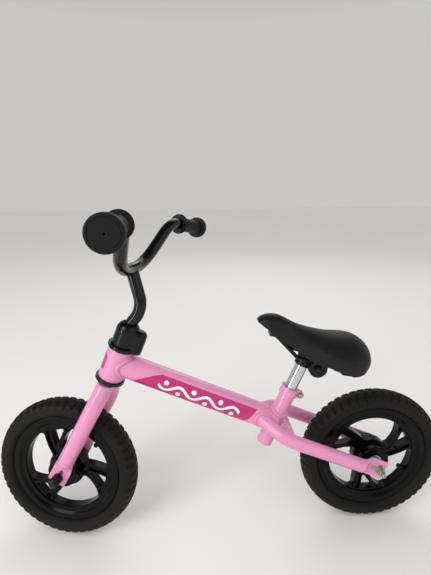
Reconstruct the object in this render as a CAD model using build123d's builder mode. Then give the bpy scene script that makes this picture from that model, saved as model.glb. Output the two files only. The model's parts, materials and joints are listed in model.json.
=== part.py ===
from build123d import *
import os
from math import cos, degrees, pi, radians, sin, sqrt

os.makedirs("parts", exist_ok=True)

# A child's balance bike, in millimetres. +X is forward, +Y is the rider's left, +Z is up.
# The ground is Z = 0, and the origin lies midway between the axles.

# Stance
wheel_diameter = 280.0
wheelbase = 600.0
head_angle = 67.0
fork_rake = 15.0
parked_steer = -12.7
seat_angle = 67.0

# Rim moulding
bead_seat_diameter = 203.0
rim_flange_height = 7.0
rim_flange_thickness = 2.5
rim_width = 30.0
rim_inner_diameter = 170.0
rim_band_width = 22.0
rim_band_height = 8.0
rim_step_height = 4.0
rim_well_depth = 4.0
rim_well_width = 11.0
rim_corner_radius = 1.0
hub_diameter = 58.0
hub_length = 56.0
hub_tunnel_diameter = 18.0
hub_edge_radius = 4.0
hub_recess_depth = 1.6
hub_recess_margin = 4.0
spoke_count = 3
spoke_thickness = 17.0
spoke_pocket_depth = 4.0
spoke_rib = 3.2
spoke_swirl = 25.0
window_inner_radius = 36.0
window_rim_lip = 0.8
window_bulge_radius = 56.0
window_inner_half_angle = 41.0
window_bulge_half_angle = 41.5
window_outer_half_angle = 38.5
window_corner_radius = 6.0
split_inner_radius = 44.0
split_outer_margin = 4.0
split_half_angle = 10.5
split_corner_radius = 2.5
valve_angle = 60.0
front_wheel_turn = 121.5
rear_wheel_turn = -88.0

# Tyre and tube
tyre_width = 44.6
tyre_bead_width = 5.0
tyre_widest_height = 13.5
tyre_shoulder_drop = 7.0
tyre_shoulder_inset = 3.0
tyre_wall = 4.2
tyre_tread_thickness = 5.5
tyre_flange_gap = 0.5
tread_knobs = 54
tread_gap = 4.2
tread_depth = 2.4
tread_groove_width = 2.6
tread_centre_width = 10.0
shoulder_cut_height = 9.0
tube_gap = 0.6
tube_diameter = 27.6
tube_wall = 1.4
valve_diameter = 8.0
valve_reach = 8.0
valve_cap_diameter = 9.6
valve_cap_length = 8.0
valve_cap_cover = 3.5

# Wheel bearings and axles
axle_diameter = 9.5
ball_diameter = 4.7
ball_circle_diameter = 20.0
ball_count = 9
race_width = 8.0
race_inset = 0.5
race_land = 1.4
race_outer_wall = 2.6
groove_clearance = 0.05
front_hub_spacing = 70.0
rear_hub_spacing = 92.0
spacer_diameter = 15.0
axle_nut_across_flats = 14.0
axle_nut_height = 8.0
tab_washer_thickness = 1.5
tab_washer_diameter = 20.0
tab_reach = 15.0
tab_peg_diameter = 4.0
front_axle_stick_out = 3.0
rear_axle_stick_out = 10.0
axle_tip_diameter = 8.0
axle_tip_chamfer = 0.6
thread_past_nut = 0.6
nut_cap_length = 20.0
nut_cap_wall = 1.6
nut_cap_clearance = 0.3

# Dropouts, the flattened ends of fork and stays
dropout_thickness = 4.5
dropout_width = 35.0
dropout_past_axle = 12.0
dropout_corner_radius = 4.0
dropout_slot_flare = 4.0
flatten_start = 42.0
flatten_length = 20.0
slot_clearance = 0.15
tab_hole_clearance = 0.1

# Head tube and headset, heights along the steering axis from the foot of the axle
crown_height = 203.0
head_tube_diameter = 46.6
head_tube_wall = 1.8
head_tube_length = 60.0
steerer_diameter = 25.4
steerer_below_crown = 20.0
steerer_above_head = 31.0
cone_base_height = 2.5
cone_base_width = 6.0
cone_width = 4.0
cone_height = 13.0
headset_gap = 0.3
lower_cup_flange_height = 6.0
lower_cup_flange_diameter = 54.6
upper_cup_flange_height = 3.0
upper_cup_flange_diameter = 48.0
cup_insert_depth = 8.0
headset_ball_inset = 3.5
headset_ball_count = 16
locknut_height = 5.0
locknut_across_flats = 32.0

# Fork blades
blade_diameter = 30.0
blade_wall = 1.5
blade_top_offset = 13.0
blade_offset = 44.0
blade_bend_height = 158.0
blade_bend_setback = 2.0
blade_bend_radius = 60.0

# Frame tubes
main_tube_diameter = 45.0
main_tube_wall = 1.5
main_tube_slope = 24.2
main_tube_length = 325.0
main_tube_drop = 1.0
seat_tube_diameter = 30.0
seat_tube_above = 75.0
seat_tube_below = 51.0
seat_slit_width = 2.0
seat_slit_length = 24.0
stay_diameter = 25.4
stay_wall = 1.5
stay_offset = 58.0
stay_start_ahead = 48.0
stay_bend_radius = 50.0
bridge_thickness = 3.0
bridge_length = 26.0
bridge_hole_diameter = 7.0
bridge_hole_rows = 2
bridge_hole_columns = 5

# Seat clamp collar
collar_height = 15.0
collar_wall = 2.3
collar_ear_thickness = 3.5
collar_ear_gap = 3.0
collar_bolt_offset = 23.0
collar_ear_radius = 7.0
collar_bolt_diameter = 5.0
collar_bolt_head_diameter = 10.0
collar_bolt_head_height = 4.0

# Stem clamp and its cover
stem_collar_height = 14.0
stem_collar_lift = 1.7
stem_collar_wall = 3.4
stem_ear_thickness = 4.3
stem_ear_gap = 2.4
stem_bolt_offset = 23.0
stem_bolt_diameter = 6.0
stem_bolt_head_diameter = 10.0
stem_bolt_head_height = 4.3
stem_ear_radius = 6.5
steerer_slit_width = 2.0
steerer_slit_length = 18.0
cover_flange_diameter = 53.0
cover_flange_height = 4.5
cover_gap = 0.5
cover_dome_diameter = 43.0
cover_dome_height = 30.0
cover_height = 48.0
cover_top_diameter = 28.0
cover_wall = 2.2
cover_lobe_reach = 37.0
cover_lobe_width = 27.0
cover_lobe_height = 43.0
cover_lobe_round = 10.0

# Stem and handlebar
bar_diameter = 22.2
bar_wall = 1.6
quill_clearance = 0.1
quill_insertion = 78.0
stem_bend_height = 324.0
stem_kick_height = 356.0
stem_kick_back = 12.0
stem_bend_radius = 45.0
bar_height = 415.6
bar_reach = 33.0
bar_width = 505.0
bar_flat_half = 57.0
bar_rise = 88.6
bar_rise_half = 126.0
bar_rise_setback = 4.7
bar_sweep = 14.0
bar_bend_radius = 92.0
bar_top_bend_radius = 58.0
grip_length = 98.0
grip_body_diameter = 29.0
grip_inner_flange_diameter = 41.0
grip_inner_flange_width = 5.0
grip_outer_flange_diameter = 45.5
grip_outer_flange_width = 10.0
grip_end_wall = 3.0
grip_end_hole_diameter = 3.0
grip_end_groove_inset = 4.5
grip_end_groove_width = 1.2
grip_end_groove_depth = 0.8
grip_edge_radius = 2.0
grip_ring_count = 9
grip_ring_depth = 1.0
grip_ring_width = 3.0

# Seat post and saddle clamp, heights along the seat tube from the main tube's axis
post_diameter = 24.0
post_wall = 1.7
post_clearance = 0.05
post_top = 148.0
post_bottom = -20.0
band_height = 22.0
band_wall = 3.3
band_ear_thickness = 11.6
band_ear_gap = 8.0
clamp_bolt_offset = 20.0
clamp_bolt_diameter = 8.0
clamp_bolt_clearance = 0.06
band_ear_radius = 9.0
cheek_diameter = 34.0
cheek_gap = 0.3
cheek_outer_width = 7.0
cheek_teeth = 24
cheek_tooth_depth = 0.8
cheek_tooth_width = 2.2
clamp_nut_across_flats = 13.0
clamp_nut_height = 6.5
clamp_bolt_stick_out = 2.0
rail_clearance = 0.3

# Saddle
saddle_tilt = 17.0
rail_diameter = 7.0
rail_half_spacing = 22.0
rail_height = 9.0
rail_straight_half = 42.0
rail_rear = -57.0
rail_rear_half_spacing = 24.0
rail_rear_height = 24.0
rail_nose = 92.0
rail_nose_half_spacing = 9.0
rail_nose_height = 37.5
rail_bend_radius = 12.0
rail_nose_radius = 5.0
saddle_length = 219.0
saddle_nose = 131.0
saddle_width = 136.0
saddle_nose_width = 44.0
saddle_rear_bottom = 10.0
saddle_nose_bottom = 41.0
saddle_crown = 72.5
saddle_dip = 9.0
saddle_rear_end = 0.17
saddle_nose_start = 0.87
saddle_end_taper = 0.85
saddle_end_drop = 16.0
saddle_rear_lift = 22.0
saddle_nose_lift = 8.0
saddle_arch = 0.45
saddle_foot_share = 0.9
saddle_side_share = 0.5
pan_gap = 0.8
pan_thickness = 4.0
pan_share = 0.84
block_length = 18.0
block_width = 12.0
block_below_rail = 1.5

# Points and planes that the pieces share
wheel_radius = wheel_diameter / 2
bead_seat_radius = bead_seat_diameter / 2
rim_flange_radius = bead_seat_radius + rim_flange_height
rim_inner_radius = rim_inner_diameter / 2
hub_radius = hub_diameter / 2
hub_half = hub_length / 2
axle_radius = axle_diameter / 2
axle_tip_radius = axle_tip_diameter / 2
ball_radius = ball_diameter / 2
ball_circle_radius = ball_circle_diameter / 2
groove_radius = ball_radius + groove_clearance
race_outer_radius = ball_circle_radius + race_land + race_outer_wall
race_centre = hub_half - race_inset - race_width / 2

left = Vector(0, 1, 0)
front_axle_point = Vector(wheelbase / 2, 0, wheel_radius)
rear_axle_point = Vector(-wheelbase / 2, 0, wheel_radius)
steer_up = Vector(-cos(radians(head_angle)), 0, sin(radians(head_angle)))
steer_ahead = Vector(sin(radians(head_angle)), 0, cos(radians(head_angle)))
steer_foot = front_axle_point - steer_ahead * fork_rake
parked_ahead = steer_ahead.rotate(Axis((0, 0, 0), steer_up), parked_steer)

# The steering frame: X ahead along the wheel, Y left, Z up the steering axis
steering = Plane(origin=steer_foot, x_dir=parked_ahead, z_dir=steer_up)
steering_section = Plane(origin=steer_foot, x_dir=parked_ahead, z_dir=-steering.y_dir)
steering_middle = Plane(origin=steer_foot, x_dir=parked_ahead, z_dir=steering.y_dir)
steering_axis = Axis(steer_foot, steer_up)

# Fork blade: top, bend and foot of its centre line, and the way its straight part runs
blade_top = steering.from_local_coords(Vector(0, blade_top_offset, crown_height))
blade_bend = steering.from_local_coords(Vector(-blade_bend_setback, blade_offset, blade_bend_height))
blade_foot = steering.from_local_coords(Vector(fork_rake, blade_offset, 0))
blade_dir = (blade_foot - blade_bend).normalized()

# The wheel frame: Z along the axle, X to the rear, turned about the axle.
# The front wheel sits the other way round, so its spokes sweep the other way.
front_wheel_point = steering.from_local_coords(Vector(fork_rake, 0, 0))
front_axle_axis = Axis((0, 0, 0), steering.y_dir)
rear_axle_axis = Axis((0, 0, 0), left)
front_hub = Plane(origin=front_wheel_point, x_dir=-parked_ahead, z_dir=steering.y_dir)
rear_hub = Plane(origin=rear_axle_point, x_dir=Vector(-1, 0, 0), z_dir=left)
front_wheel_x = (-parked_ahead).rotate(front_axle_axis, front_wheel_turn)
rear_wheel_x = Vector(-1, 0, 0).rotate(rear_axle_axis, rear_wheel_turn)
front_wheel = Plane(origin=front_wheel_point, x_dir=front_wheel_x, z_dir=-steering.y_dir)
rear_wheel = Plane(origin=rear_axle_point, x_dir=rear_wheel_x, z_dir=left)

# Heights up the steering axis
lower_cup_bottom = crown_height + cone_base_height + headset_gap
head_bottom = lower_cup_bottom + lower_cup_flange_height
head_top = head_bottom + head_tube_length
upper_cup_top = head_top + upper_cup_flange_height
steerer_top = head_top + steerer_above_head
lower_balls = head_bottom + headset_ball_inset
upper_balls = head_top - headset_ball_inset
upper_cone_top = upper_balls + cone_height - headset_ball_inset
locknut_top = upper_cone_top + locknut_height
stem_collar_bottom = locknut_top + stem_collar_lift
stem_collar_top = stem_collar_bottom + stem_collar_height
cover_bottom = upper_cup_top + cover_gap

# Headset radii
steerer_radius = steerer_diameter / 2
cone_radius = steerer_radius + cone_width
head_bore_radius = head_tube_diameter / 2 - head_tube_wall
headset_ball_circle = cone_radius + race_land
cup_bore_radius = headset_ball_circle + race_land

# Main tube, from the steering axis down to the seat tube's axis
head_middle = (head_bottom + head_top) / 2 + main_tube_drop
main_start = steer_foot + steer_up * head_middle
main_dir = Vector(-cos(radians(main_tube_slope)), 0, -sin(radians(main_tube_slope)))
seat_point = main_start + main_dir * main_tube_length
main_along = Plane(origin=main_start, x_dir=left, z_dir=main_dir)

# Seat tube frame: X ahead, Y left, Z up the seat tube
seat_up = Vector(-cos(radians(seat_angle)), 0, sin(radians(seat_angle)))
seat_ahead = Vector(sin(radians(seat_angle)), 0, cos(radians(seat_angle)))
seat = Plane(origin=seat_point, x_dir=seat_ahead, z_dir=seat_up)
seat_side = Plane(origin=seat_point, x_dir=seat_ahead, z_dir=-left)
post_radius = post_diameter / 2
seat_bore_radius = post_radius + post_clearance

# Stay frame: X back along the stays to the rear axle, Y left
stay_start = seat_point - main_dir * stay_start_ahead
stay_run = rear_axle_point - stay_start
stay_length = stay_run.length
stay_dir = stay_run.normalized()
stay_plane = Plane(origin=stay_start, x_dir=stay_dir, z_dir=stay_dir.cross(left))

# Saddle frame: X ahead along the rails, Y left, Z up, centred on the clamp bolt
clamp_height = post_top - band_height / 2
clamp_point = seat.from_local_coords(Vector(-clamp_bolt_offset, 0, clamp_height))
saddle_ahead = Vector(cos(radians(saddle_tilt)), 0, sin(radians(saddle_tilt)))
saddle_up = Vector(-sin(radians(saddle_tilt)), 0, cos(radians(saddle_tilt)))
saddle = Plane(origin=clamp_point, x_dir=saddle_ahead, z_dir=saddle_up)
clamp_side = Plane(origin=clamp_point, x_dir=saddle_ahead, z_dir=-left)


def write(piece, name):
    """Label a finished piece and write it to its own file."""
    piece.part.label = name
    export_step(piece.part, f"parts/{name}.step")


def write_wheel(piece, name):
    """Write a wheel piece twice, moved to the front and to the rear wheel."""
    for end, plane in (("front", front_wheel), ("rear", rear_wheel)):
        with BuildPart() as copy:
            with Locations(plane):
                add(piece.part)
        write(copy, f"{end}_{name}")


def write_pair(piece, name, middle):
    """Write a left piece and its mirror image as the right one."""
    write(piece, f"left_{name}")
    with BuildPart() as twin:
        mirror(piece.part, about=middle)
    write(twin, f"right_{name}")


# Rim: hub, three split spokes and rim in one moulding
rim_half = rim_width / 2
band_half = rim_band_width / 2
seat_half = rim_half - rim_flange_thickness
band_top = rim_inner_radius + rim_band_height
rim_section_half = [
    (rim_inner_radius, band_half),
    (band_top, band_half),
    (band_top + rim_step_height, rim_half),
    (rim_flange_radius, rim_half),
    (rim_flange_radius, seat_half),
    (bead_seat_radius, seat_half),
    (bead_seat_radius, rim_well_width / 2 + rim_well_depth / 2),
    (bead_seat_radius - rim_well_depth, rim_well_width / 2),
]


def on_circle(radius, angle):
    """A point of the wheel plane at a radius and an angle in degrees."""
    return (radius * cos(radians(angle)), radius * sin(radians(angle)))


def swirled(radius, angle):
    """A point of the wheel plane that lags behind its angle the nearer it lies to the hub."""
    lag = spoke_swirl * (rim_inner_radius - radius) / (rim_inner_radius - hub_radius)
    return on_circle(radius, angle - lag)


def window_outline(grow):
    """One window between two spokes, about +X, with its edge moved out by a margin."""
    outer = rim_inner_radius - window_rim_lip + grow
    inner = window_inner_radius - grow
    bulge = window_bulge_radius
    inner_half = window_inner_half_angle + degrees(grow / inner)
    bulge_half = window_bulge_half_angle + degrees(grow / bulge)
    outer_half = window_outer_half_angle + degrees(grow / outer)
    with BuildSketch() as outline:
        with BuildLine():
            for side in (1, -1):
                ThreePointArc(
                    swirled(inner, side * inner_half),
                    swirled(bulge, side * bulge_half),
                    swirled(outer, side * outer_half),
                )
            ThreePointArc(swirled(outer, outer_half), swirled(outer, 0), swirled(outer, -outer_half))
            ThreePointArc(swirled(inner, inner_half), swirled(inner, 0), swirled(inner, -inner_half))
        make_face()
        fillet(outline.vertices(), window_corner_radius)
    return outline.sketch


def split_outline(grow):
    """The three-cornered hole in a spoke, about +X, with its edge moved out by a margin."""
    outer = rim_inner_radius - split_outer_margin + grow
    half = split_half_angle + degrees(1.5 * grow / outer)
    tip = split_inner_radius - 2.8 * grow
    with BuildSketch() as outline:
        with BuildLine():
            Polyline(swirled(tip, 0), swirled(outer, half), swirled(outer, -half), close=True)
        make_face()
        fillet(outline.vertices(), split_corner_radius + grow / 2)
    return outline.sketch


with BuildSketch() as openings:
    with PolarLocations(0, spoke_count, start_angle=180 / spoke_count):
        add(window_outline(0))
    with PolarLocations(0, spoke_count):
        add(split_outline(0))

with BuildSketch() as spoke_pockets:
    Circle(rim_inner_radius - spoke_rib)
    Circle(hub_radius + spoke_rib, mode=Mode.SUBTRACT)
    with PolarLocations(0, spoke_count, start_angle=180 / spoke_count):
        add(window_outline(spoke_rib), mode=Mode.SUBTRACT)
    with PolarLocations(0, spoke_count):
        add(split_outline(spoke_rib), mode=Mode.SUBTRACT)

with BuildPart() as rim:
    with BuildSketch(Plane.XZ) as rim_section:
        with BuildLine():
            lower_half = [(radius, -height) for radius, height in reversed(rim_section_half)]
            Polyline(*rim_section_half, *lower_half, close=True)
        make_face()
        rounded = [
            corner
            for corner in rim_section.vertices()
            if abs(corner.Y) > band_half - rim_corner_radius / 10
            and abs(abs(corner.Y) - seat_half) > rim_corner_radius / 10
        ]
        fillet(rounded, rim_corner_radius)
    revolve(axis=Axis.Z)
    with BuildSketch():
        Circle(rim_inner_radius + rim_corner_radius)
        add(openings.sketch, mode=Mode.SUBTRACT)
    extrude(amount=spoke_thickness / 2, both=True)
    for face in (1, -1):
        with BuildSketch(Plane.XY.offset(face * spoke_thickness / 2)):
            add(spoke_pockets.sketch)
        extrude(amount=-face * spoke_pocket_depth, mode=Mode.SUBTRACT)
    with BuildSketch(Plane.XZ) as hub_section:
        with Locations((hub_radius / 2, 0)):
            Rectangle(hub_radius, hub_length)
        fillet(hub_section.vertices().group_by(Axis.X)[-1], hub_edge_radius)
    revolve(axis=Axis.Z)
    with BuildSketch(Plane.XZ) as hub_hollow:
        with Locations((hub_tunnel_diameter / 4, 0)):
            Rectangle(hub_tunnel_diameter / 2, hub_length)
        with Locations((race_outer_radius / 2, race_centre), (race_outer_radius / 2, -race_centre)):
            Rectangle(race_outer_radius, race_width + 2 * race_inset)
        recess_inner = race_outer_radius + hub_recess_margin / 2
        recess_outer = hub_radius - hub_edge_radius - hub_recess_margin / 4
        recess_middle = (recess_inner + recess_outer) / 2
        with Locations((recess_middle, hub_half), (recess_middle, -hub_half)):
            Rectangle(recess_outer - recess_inner, 2 * hub_recess_depth)
    revolve(axis=Axis.Z, mode=Mode.SUBTRACT)
    with Locations(Location((0, 0, 0), (0, 0, valve_angle))):
        with Locations(Location((rim_inner_radius, 0, 0), (0, 90, 0))):
            Cylinder(valve_diameter / 2, 2 * (rim_flange_radius - rim_inner_radius), mode=Mode.SUBTRACT)
write_wheel(rim, "rim")

# Tyre: a hollow carcass with bead feet, knobs on the crown and on both shoulders
tyre_half = tyre_width / 2
flange_edge = rim_flange_radius + tyre_flange_gap
widest_radius = bead_seat_radius + rim_flange_height + tyre_widest_height
shoulder_radius = wheel_radius - tyre_shoulder_drop
shoulder_half = tyre_half - tyre_shoulder_inset
crown_inside = wheel_radius - tyre_tread_thickness
bead_toe = seat_half - tyre_bead_width
with BuildPart() as tyre:
    with BuildSketch(Plane.XZ):
        with BuildLine() as tyre_section:
            Polyline(
                (flange_edge, bead_toe + tyre_wall / 2),
                (bead_seat_radius, bead_toe),
                (bead_seat_radius, seat_half),
                (flange_edge, seat_half),
                (flange_edge + tyre_flange_gap, rim_half),
            )
            wall_start = (flange_edge + tyre_flange_gap, rim_half)
            widest = (widest_radius, tyre_half)
            shoulder = (shoulder_radius, shoulder_half)
            lower_middle = ((flange_edge + widest_radius) / 2 - 1, (rim_half + tyre_half) / 2 + 2.2)
            ThreePointArc(wall_start, lower_middle, widest)
            upper_middle = ((widest_radius + shoulder_radius) / 2 + 0.6, tyre_half - tyre_shoulder_inset / 4)
            ThreePointArc(widest, upper_middle, shoulder)
            crown_middle = (wheel_radius - tyre_shoulder_drop / 4, shoulder_half / 2)
            ThreePointArc(shoulder, crown_middle, (wheel_radius, 0))
            inside_middle = (widest_radius, tyre_half - tyre_wall)
            ThreePointArc((flange_edge, bead_toe + tyre_wall / 2), inside_middle, (crown_inside, 0))
            mirror(tyre_section.line, about=Plane.XZ)
        make_face()
    revolve(axis=Axis.Z)
    with BuildSketch(Plane.XZ):
        groove_middle = tread_centre_width / 2 + tread_groove_width / 2
        with Locations((wheel_radius, groove_middle), (wheel_radius, -groove_middle)):
            Rectangle(2 * tread_depth, tread_groove_width)
    revolve(axis=Axis.Z, mode=Mode.SUBTRACT)
    with PolarLocations(wheel_radius, tread_knobs):
        Box(2 * tread_depth, tread_gap, tread_centre_width, mode=Mode.SUBTRACT)
    cut_radius = wheel_radius - tyre_shoulder_drop / 2
    cut_reach = 2 * tread_depth + tyre_shoulder_drop
    with Locations((0, 0, tyre_half), (0, 0, -tyre_half)):
        with PolarLocations(cut_radius, tread_knobs, start_angle=180 / tread_knobs):
            Box(cut_reach, tread_gap, 2 * shoulder_cut_height, mode=Mode.SUBTRACT)
write_wheel(tyre, "tyre")

# Inner tube, its valve and the valve's cap
tube_radius = tube_diameter / 2
tube_circle = crown_inside - tube_gap - tube_radius
valve_end = rim_inner_radius - valve_reach
with BuildPart() as inner_tube:
    with BuildSketch(Plane.XZ):
        with Locations((tube_circle, 0)):
            Circle(tube_radius)
            Circle(tube_radius - tube_wall, mode=Mode.SUBTRACT)
    revolve(axis=Axis.Z)
write_wheel(inner_tube, "inner_tube")

valve_plane = Plane(origin=(0, 0, 0), x_dir=(0, 0, 1), z_dir=on_circle(1, valve_angle) + (0,))
with BuildPart() as valve:
    with BuildSketch(valve_plane.offset(valve_end)):
        Circle(valve_diameter / 2)
    extrude(amount=tube_circle - valve_end)
    with BuildSketch(Plane.XZ):
        with Locations((tube_circle, 0)):
            Circle(tube_radius)
    revolve(axis=Axis.Z, mode=Mode.SUBTRACT)
write_wheel(valve, "valve")

with BuildPart() as valve_cap:
    with BuildSketch(valve_plane.offset(valve_end - valve_cap_length + valve_cap_cover)):
        Circle(valve_cap_diameter / 2)
    extrude(amount=valve_cap_length)
    fillet(valve_cap.edges().sort_by(SortBy.DISTANCE)[0], valve_cap_diameter / 6)
    with BuildSketch(valve_plane.offset(valve_end)):
        Circle(valve_diameter / 2)
    extrude(amount=valve_cap_length, mode=Mode.SUBTRACT)
write_wheel(valve_cap, "valve_cap")

# Bearing races: the outer pair sits in the hub, the inner pair on the axle
with BuildPart() as outer_races:
    with BuildSketch(Plane.XZ):
        for side in (1, -1):
            with Locations((race_outer_radius - race_outer_wall / 2, side * race_centre)):
                Rectangle(race_outer_wall, race_width)
            with Locations((ball_circle_radius, side * race_centre)):
                Circle(groove_radius, mode=Mode.SUBTRACT)
    revolve(axis=Axis.Z)
write_wheel(outer_races, "bearing_outer_races")

inner_race_radius = ball_circle_radius - race_land
for end, hub in (("front", front_hub), ("rear", rear_hub)):
    hub_section_plane = Plane(origin=hub.origin, x_dir=hub.x_dir, z_dir=-hub.y_dir)
    hub_axis = Axis(hub.origin, hub.z_dir)
    with BuildPart() as inner_races:
        with BuildSketch(hub_section_plane):
            for side in (1, -1):
                with Locations(((axle_radius + inner_race_radius) / 2, side * race_centre)):
                    Rectangle(inner_race_radius - axle_radius, race_width)
                with Locations((ball_circle_radius, side * race_centre)):
                    Circle(groove_radius, mode=Mode.SUBTRACT)
        revolve(axis=hub_axis)
    write(inner_races, f"{end}_bearing_inner_races")
    with BuildPart() as balls:
        with Locations(hub.offset(race_centre), hub.offset(-race_centre)):
            with PolarLocations(ball_circle_radius, ball_count):
                Sphere(ball_radius)
    write(balls, f"{end}_bearing_balls")

# Axles with their spacers, tab washers, nuts and caps
axle_ends = (
    ("front", front_hub, front_hub_spacing / 2, front_axle_stick_out, -blade_dir),
    ("rear", rear_hub, rear_hub_spacing / 2, rear_axle_stick_out, -stay_dir),
)
race_face = race_centre + race_width / 2
washer_radius = tab_washer_diameter / 2
nut_radius = axle_nut_across_flats / 2 / cos(radians(30))
for end, hub, plate_inside, stick_out, tab_dir in axle_ends:
    plate_outside = plate_inside + dropout_thickness
    washer_outside = plate_outside + tab_washer_thickness
    nut_outside = washer_outside + axle_nut_height
    axle_half = nut_outside + stick_out
    thread_end = nut_outside + thread_past_nut
    with BuildPart() as axle:
        with BuildSketch(Plane(origin=hub.origin, x_dir=hub.x_dir, z_dir=-hub.y_dir)):
            with BuildLine() as axle_section:
                Polyline(
                    (0, 0),
                    (axle_radius, 0),
                    (axle_radius, thread_end),
                    (axle_tip_radius, thread_end + axle_radius - axle_tip_radius),
                    (axle_tip_radius, axle_half - axle_tip_chamfer),
                    (axle_tip_radius - axle_tip_chamfer, axle_half),
                    (0, axle_half),
                    close=True,
                )
            make_face()
        revolve(axis=Axis(hub.origin, hub.z_dir))
        mirror(about=hub)
    write(axle, f"{end}_axle")

    with BuildPart() as spacers:
        for side in (1, -1):
            with BuildSketch(hub.offset(side * race_face)):
                Circle(spacer_diameter / 2)
                Circle(axle_radius, mode=Mode.SUBTRACT)
            extrude(amount=side * (plate_inside - race_face))
    write(spacers, f"{end}_axle_spacers")

    with BuildPart() as tab_washers:
        for side in (1, -1):
            face = Plane(origin=hub.origin + hub.z_dir * side * plate_outside, x_dir=tab_dir, z_dir=hub.z_dir)
            with BuildSketch(face):
                Circle(washer_radius)
                with Locations((tab_reach / 2, 0)):
                    SlotCenterToCenter(tab_reach, 1.6 * tab_peg_diameter)
                Circle(axle_radius, mode=Mode.SUBTRACT)
            extrude(amount=side * tab_washer_thickness)
            with BuildSketch(face):
                with Locations((tab_reach, 0)):
                    Circle(tab_peg_diameter / 2)
            extrude(amount=-side * dropout_thickness)
    write(tab_washers, f"{end}_tab_washers")

    with BuildPart() as nuts:
        for side in (1, -1):
            with BuildSketch(hub.offset(side * washer_outside)):
                RegularPolygon(nut_radius, 6)
                Circle(axle_radius, mode=Mode.SUBTRACT)
            extrude(amount=side * axle_nut_height)
    write(nuts, f"{end}_axle_nuts")

cap_start = front_hub_spacing / 2 + dropout_thickness + tab_washer_thickness
cap_bore = nut_radius + nut_cap_clearance
cap_radius = cap_bore + nut_cap_wall
cap_top = cap_start + nut_cap_length
cap_hollow = cap_start + axle_nut_height + front_axle_stick_out + nut_cap_clearance
with BuildPart() as front_nut_caps:
    for side in (1, -1):
        with BuildSketch(front_hub.offset(side * cap_start)):
            Circle(cap_radius)
        extrude(amount=side * nut_cap_length)
        outermost = Axis(front_hub.origin, front_hub.z_dir * side)
        fillet(front_nut_caps.faces().sort_by(outermost)[-1].edges(), cap_radius * 0.6)
        with BuildSketch(front_hub.offset(side * cap_start)):
            Circle(cap_bore)
        extrude(amount=side * (cap_hollow - cap_start), mode=Mode.SUBTRACT)
write(front_nut_caps, "front_nut_caps")

# Headset: cups in the head tube, cones on the steerer, balls between them
def headset_ring(section, ball_height):
    """A ring of the headset, turned from stacked rectangles, with its ball groove."""
    with BuildPart() as ring:
        with BuildSketch(steering_section):
            for inside, outside, bottom, top in section:
                with Locations(((inside + outside) / 2, (bottom + top) / 2)):
                    Rectangle(outside - inside, top - bottom)
            with Locations((headset_ball_circle, ball_height)):
                Circle(groove_radius, mode=Mode.SUBTRACT)
        revolve(axis=steering_axis)
    return ring


lower_cup = headset_ring(
    [
        (cup_bore_radius, lower_cup_flange_diameter / 2, lower_cup_bottom, head_bottom),
        (cup_bore_radius, head_bore_radius, head_bottom, head_bottom + cup_insert_depth),
    ],
    lower_balls,
)
write(lower_cup, "lower_headset_cup")

upper_cup = headset_ring(
    [
        (cup_bore_radius, upper_cup_flange_diameter / 2, head_top, upper_cup_top),
        (cup_bore_radius, head_bore_radius, head_top - cup_insert_depth, head_top),
    ],
    upper_balls,
)
write(upper_cup, "upper_headset_cup")

lower_cone = headset_ring(
    [
        (steerer_radius, steerer_radius + cone_base_width, crown_height, crown_height + cone_base_height),
        (steerer_radius, cone_radius, crown_height, lower_balls + headset_ball_inset),
    ],
    lower_balls,
)
write(lower_cone, "lower_headset_cone")

upper_cone = headset_ring(
    [(steerer_radius, cone_radius, upper_balls - headset_ball_inset, upper_cone_top)],
    upper_balls,
)
write(upper_cone, "upper_headset_cone")

with BuildPart() as headset_balls:
    with Locations(steering.offset(lower_balls), steering.offset(upper_balls)):
        with PolarLocations(headset_ball_circle, headset_ball_count):
            Sphere(ball_radius)
write(headset_balls, "headset_balls")

with BuildPart() as headset_locknut:
    with BuildSketch(steering.offset(upper_cone_top)):
        RegularPolygon(locknut_across_flats / 2, 6, major_radius=False)
        Circle(steerer_radius, mode=Mode.SUBTRACT)
    extrude(amount=locknut_height)
write(headset_locknut, "headset_locknut")

# Steerer tube, slit at the rear of its top for the stem clamp
bar_radius = bar_diameter / 2
with BuildPart() as steerer_tube:
    with BuildSketch(steering.offset(crown_height - steerer_below_crown)):
        Circle(steerer_radius)
        Circle(bar_radius + quill_clearance, mode=Mode.SUBTRACT)
    extrude(amount=steerer_top - crown_height + steerer_below_crown)
    with BuildSketch(steering.offset(steerer_top)):
        with Locations((-steerer_radius, 0)):
            Rectangle(steerer_radius, steerer_slit_width)
    extrude(amount=-steerer_slit_length, mode=Mode.SUBTRACT)
write(steerer_tube, "steerer_tube")


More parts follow.
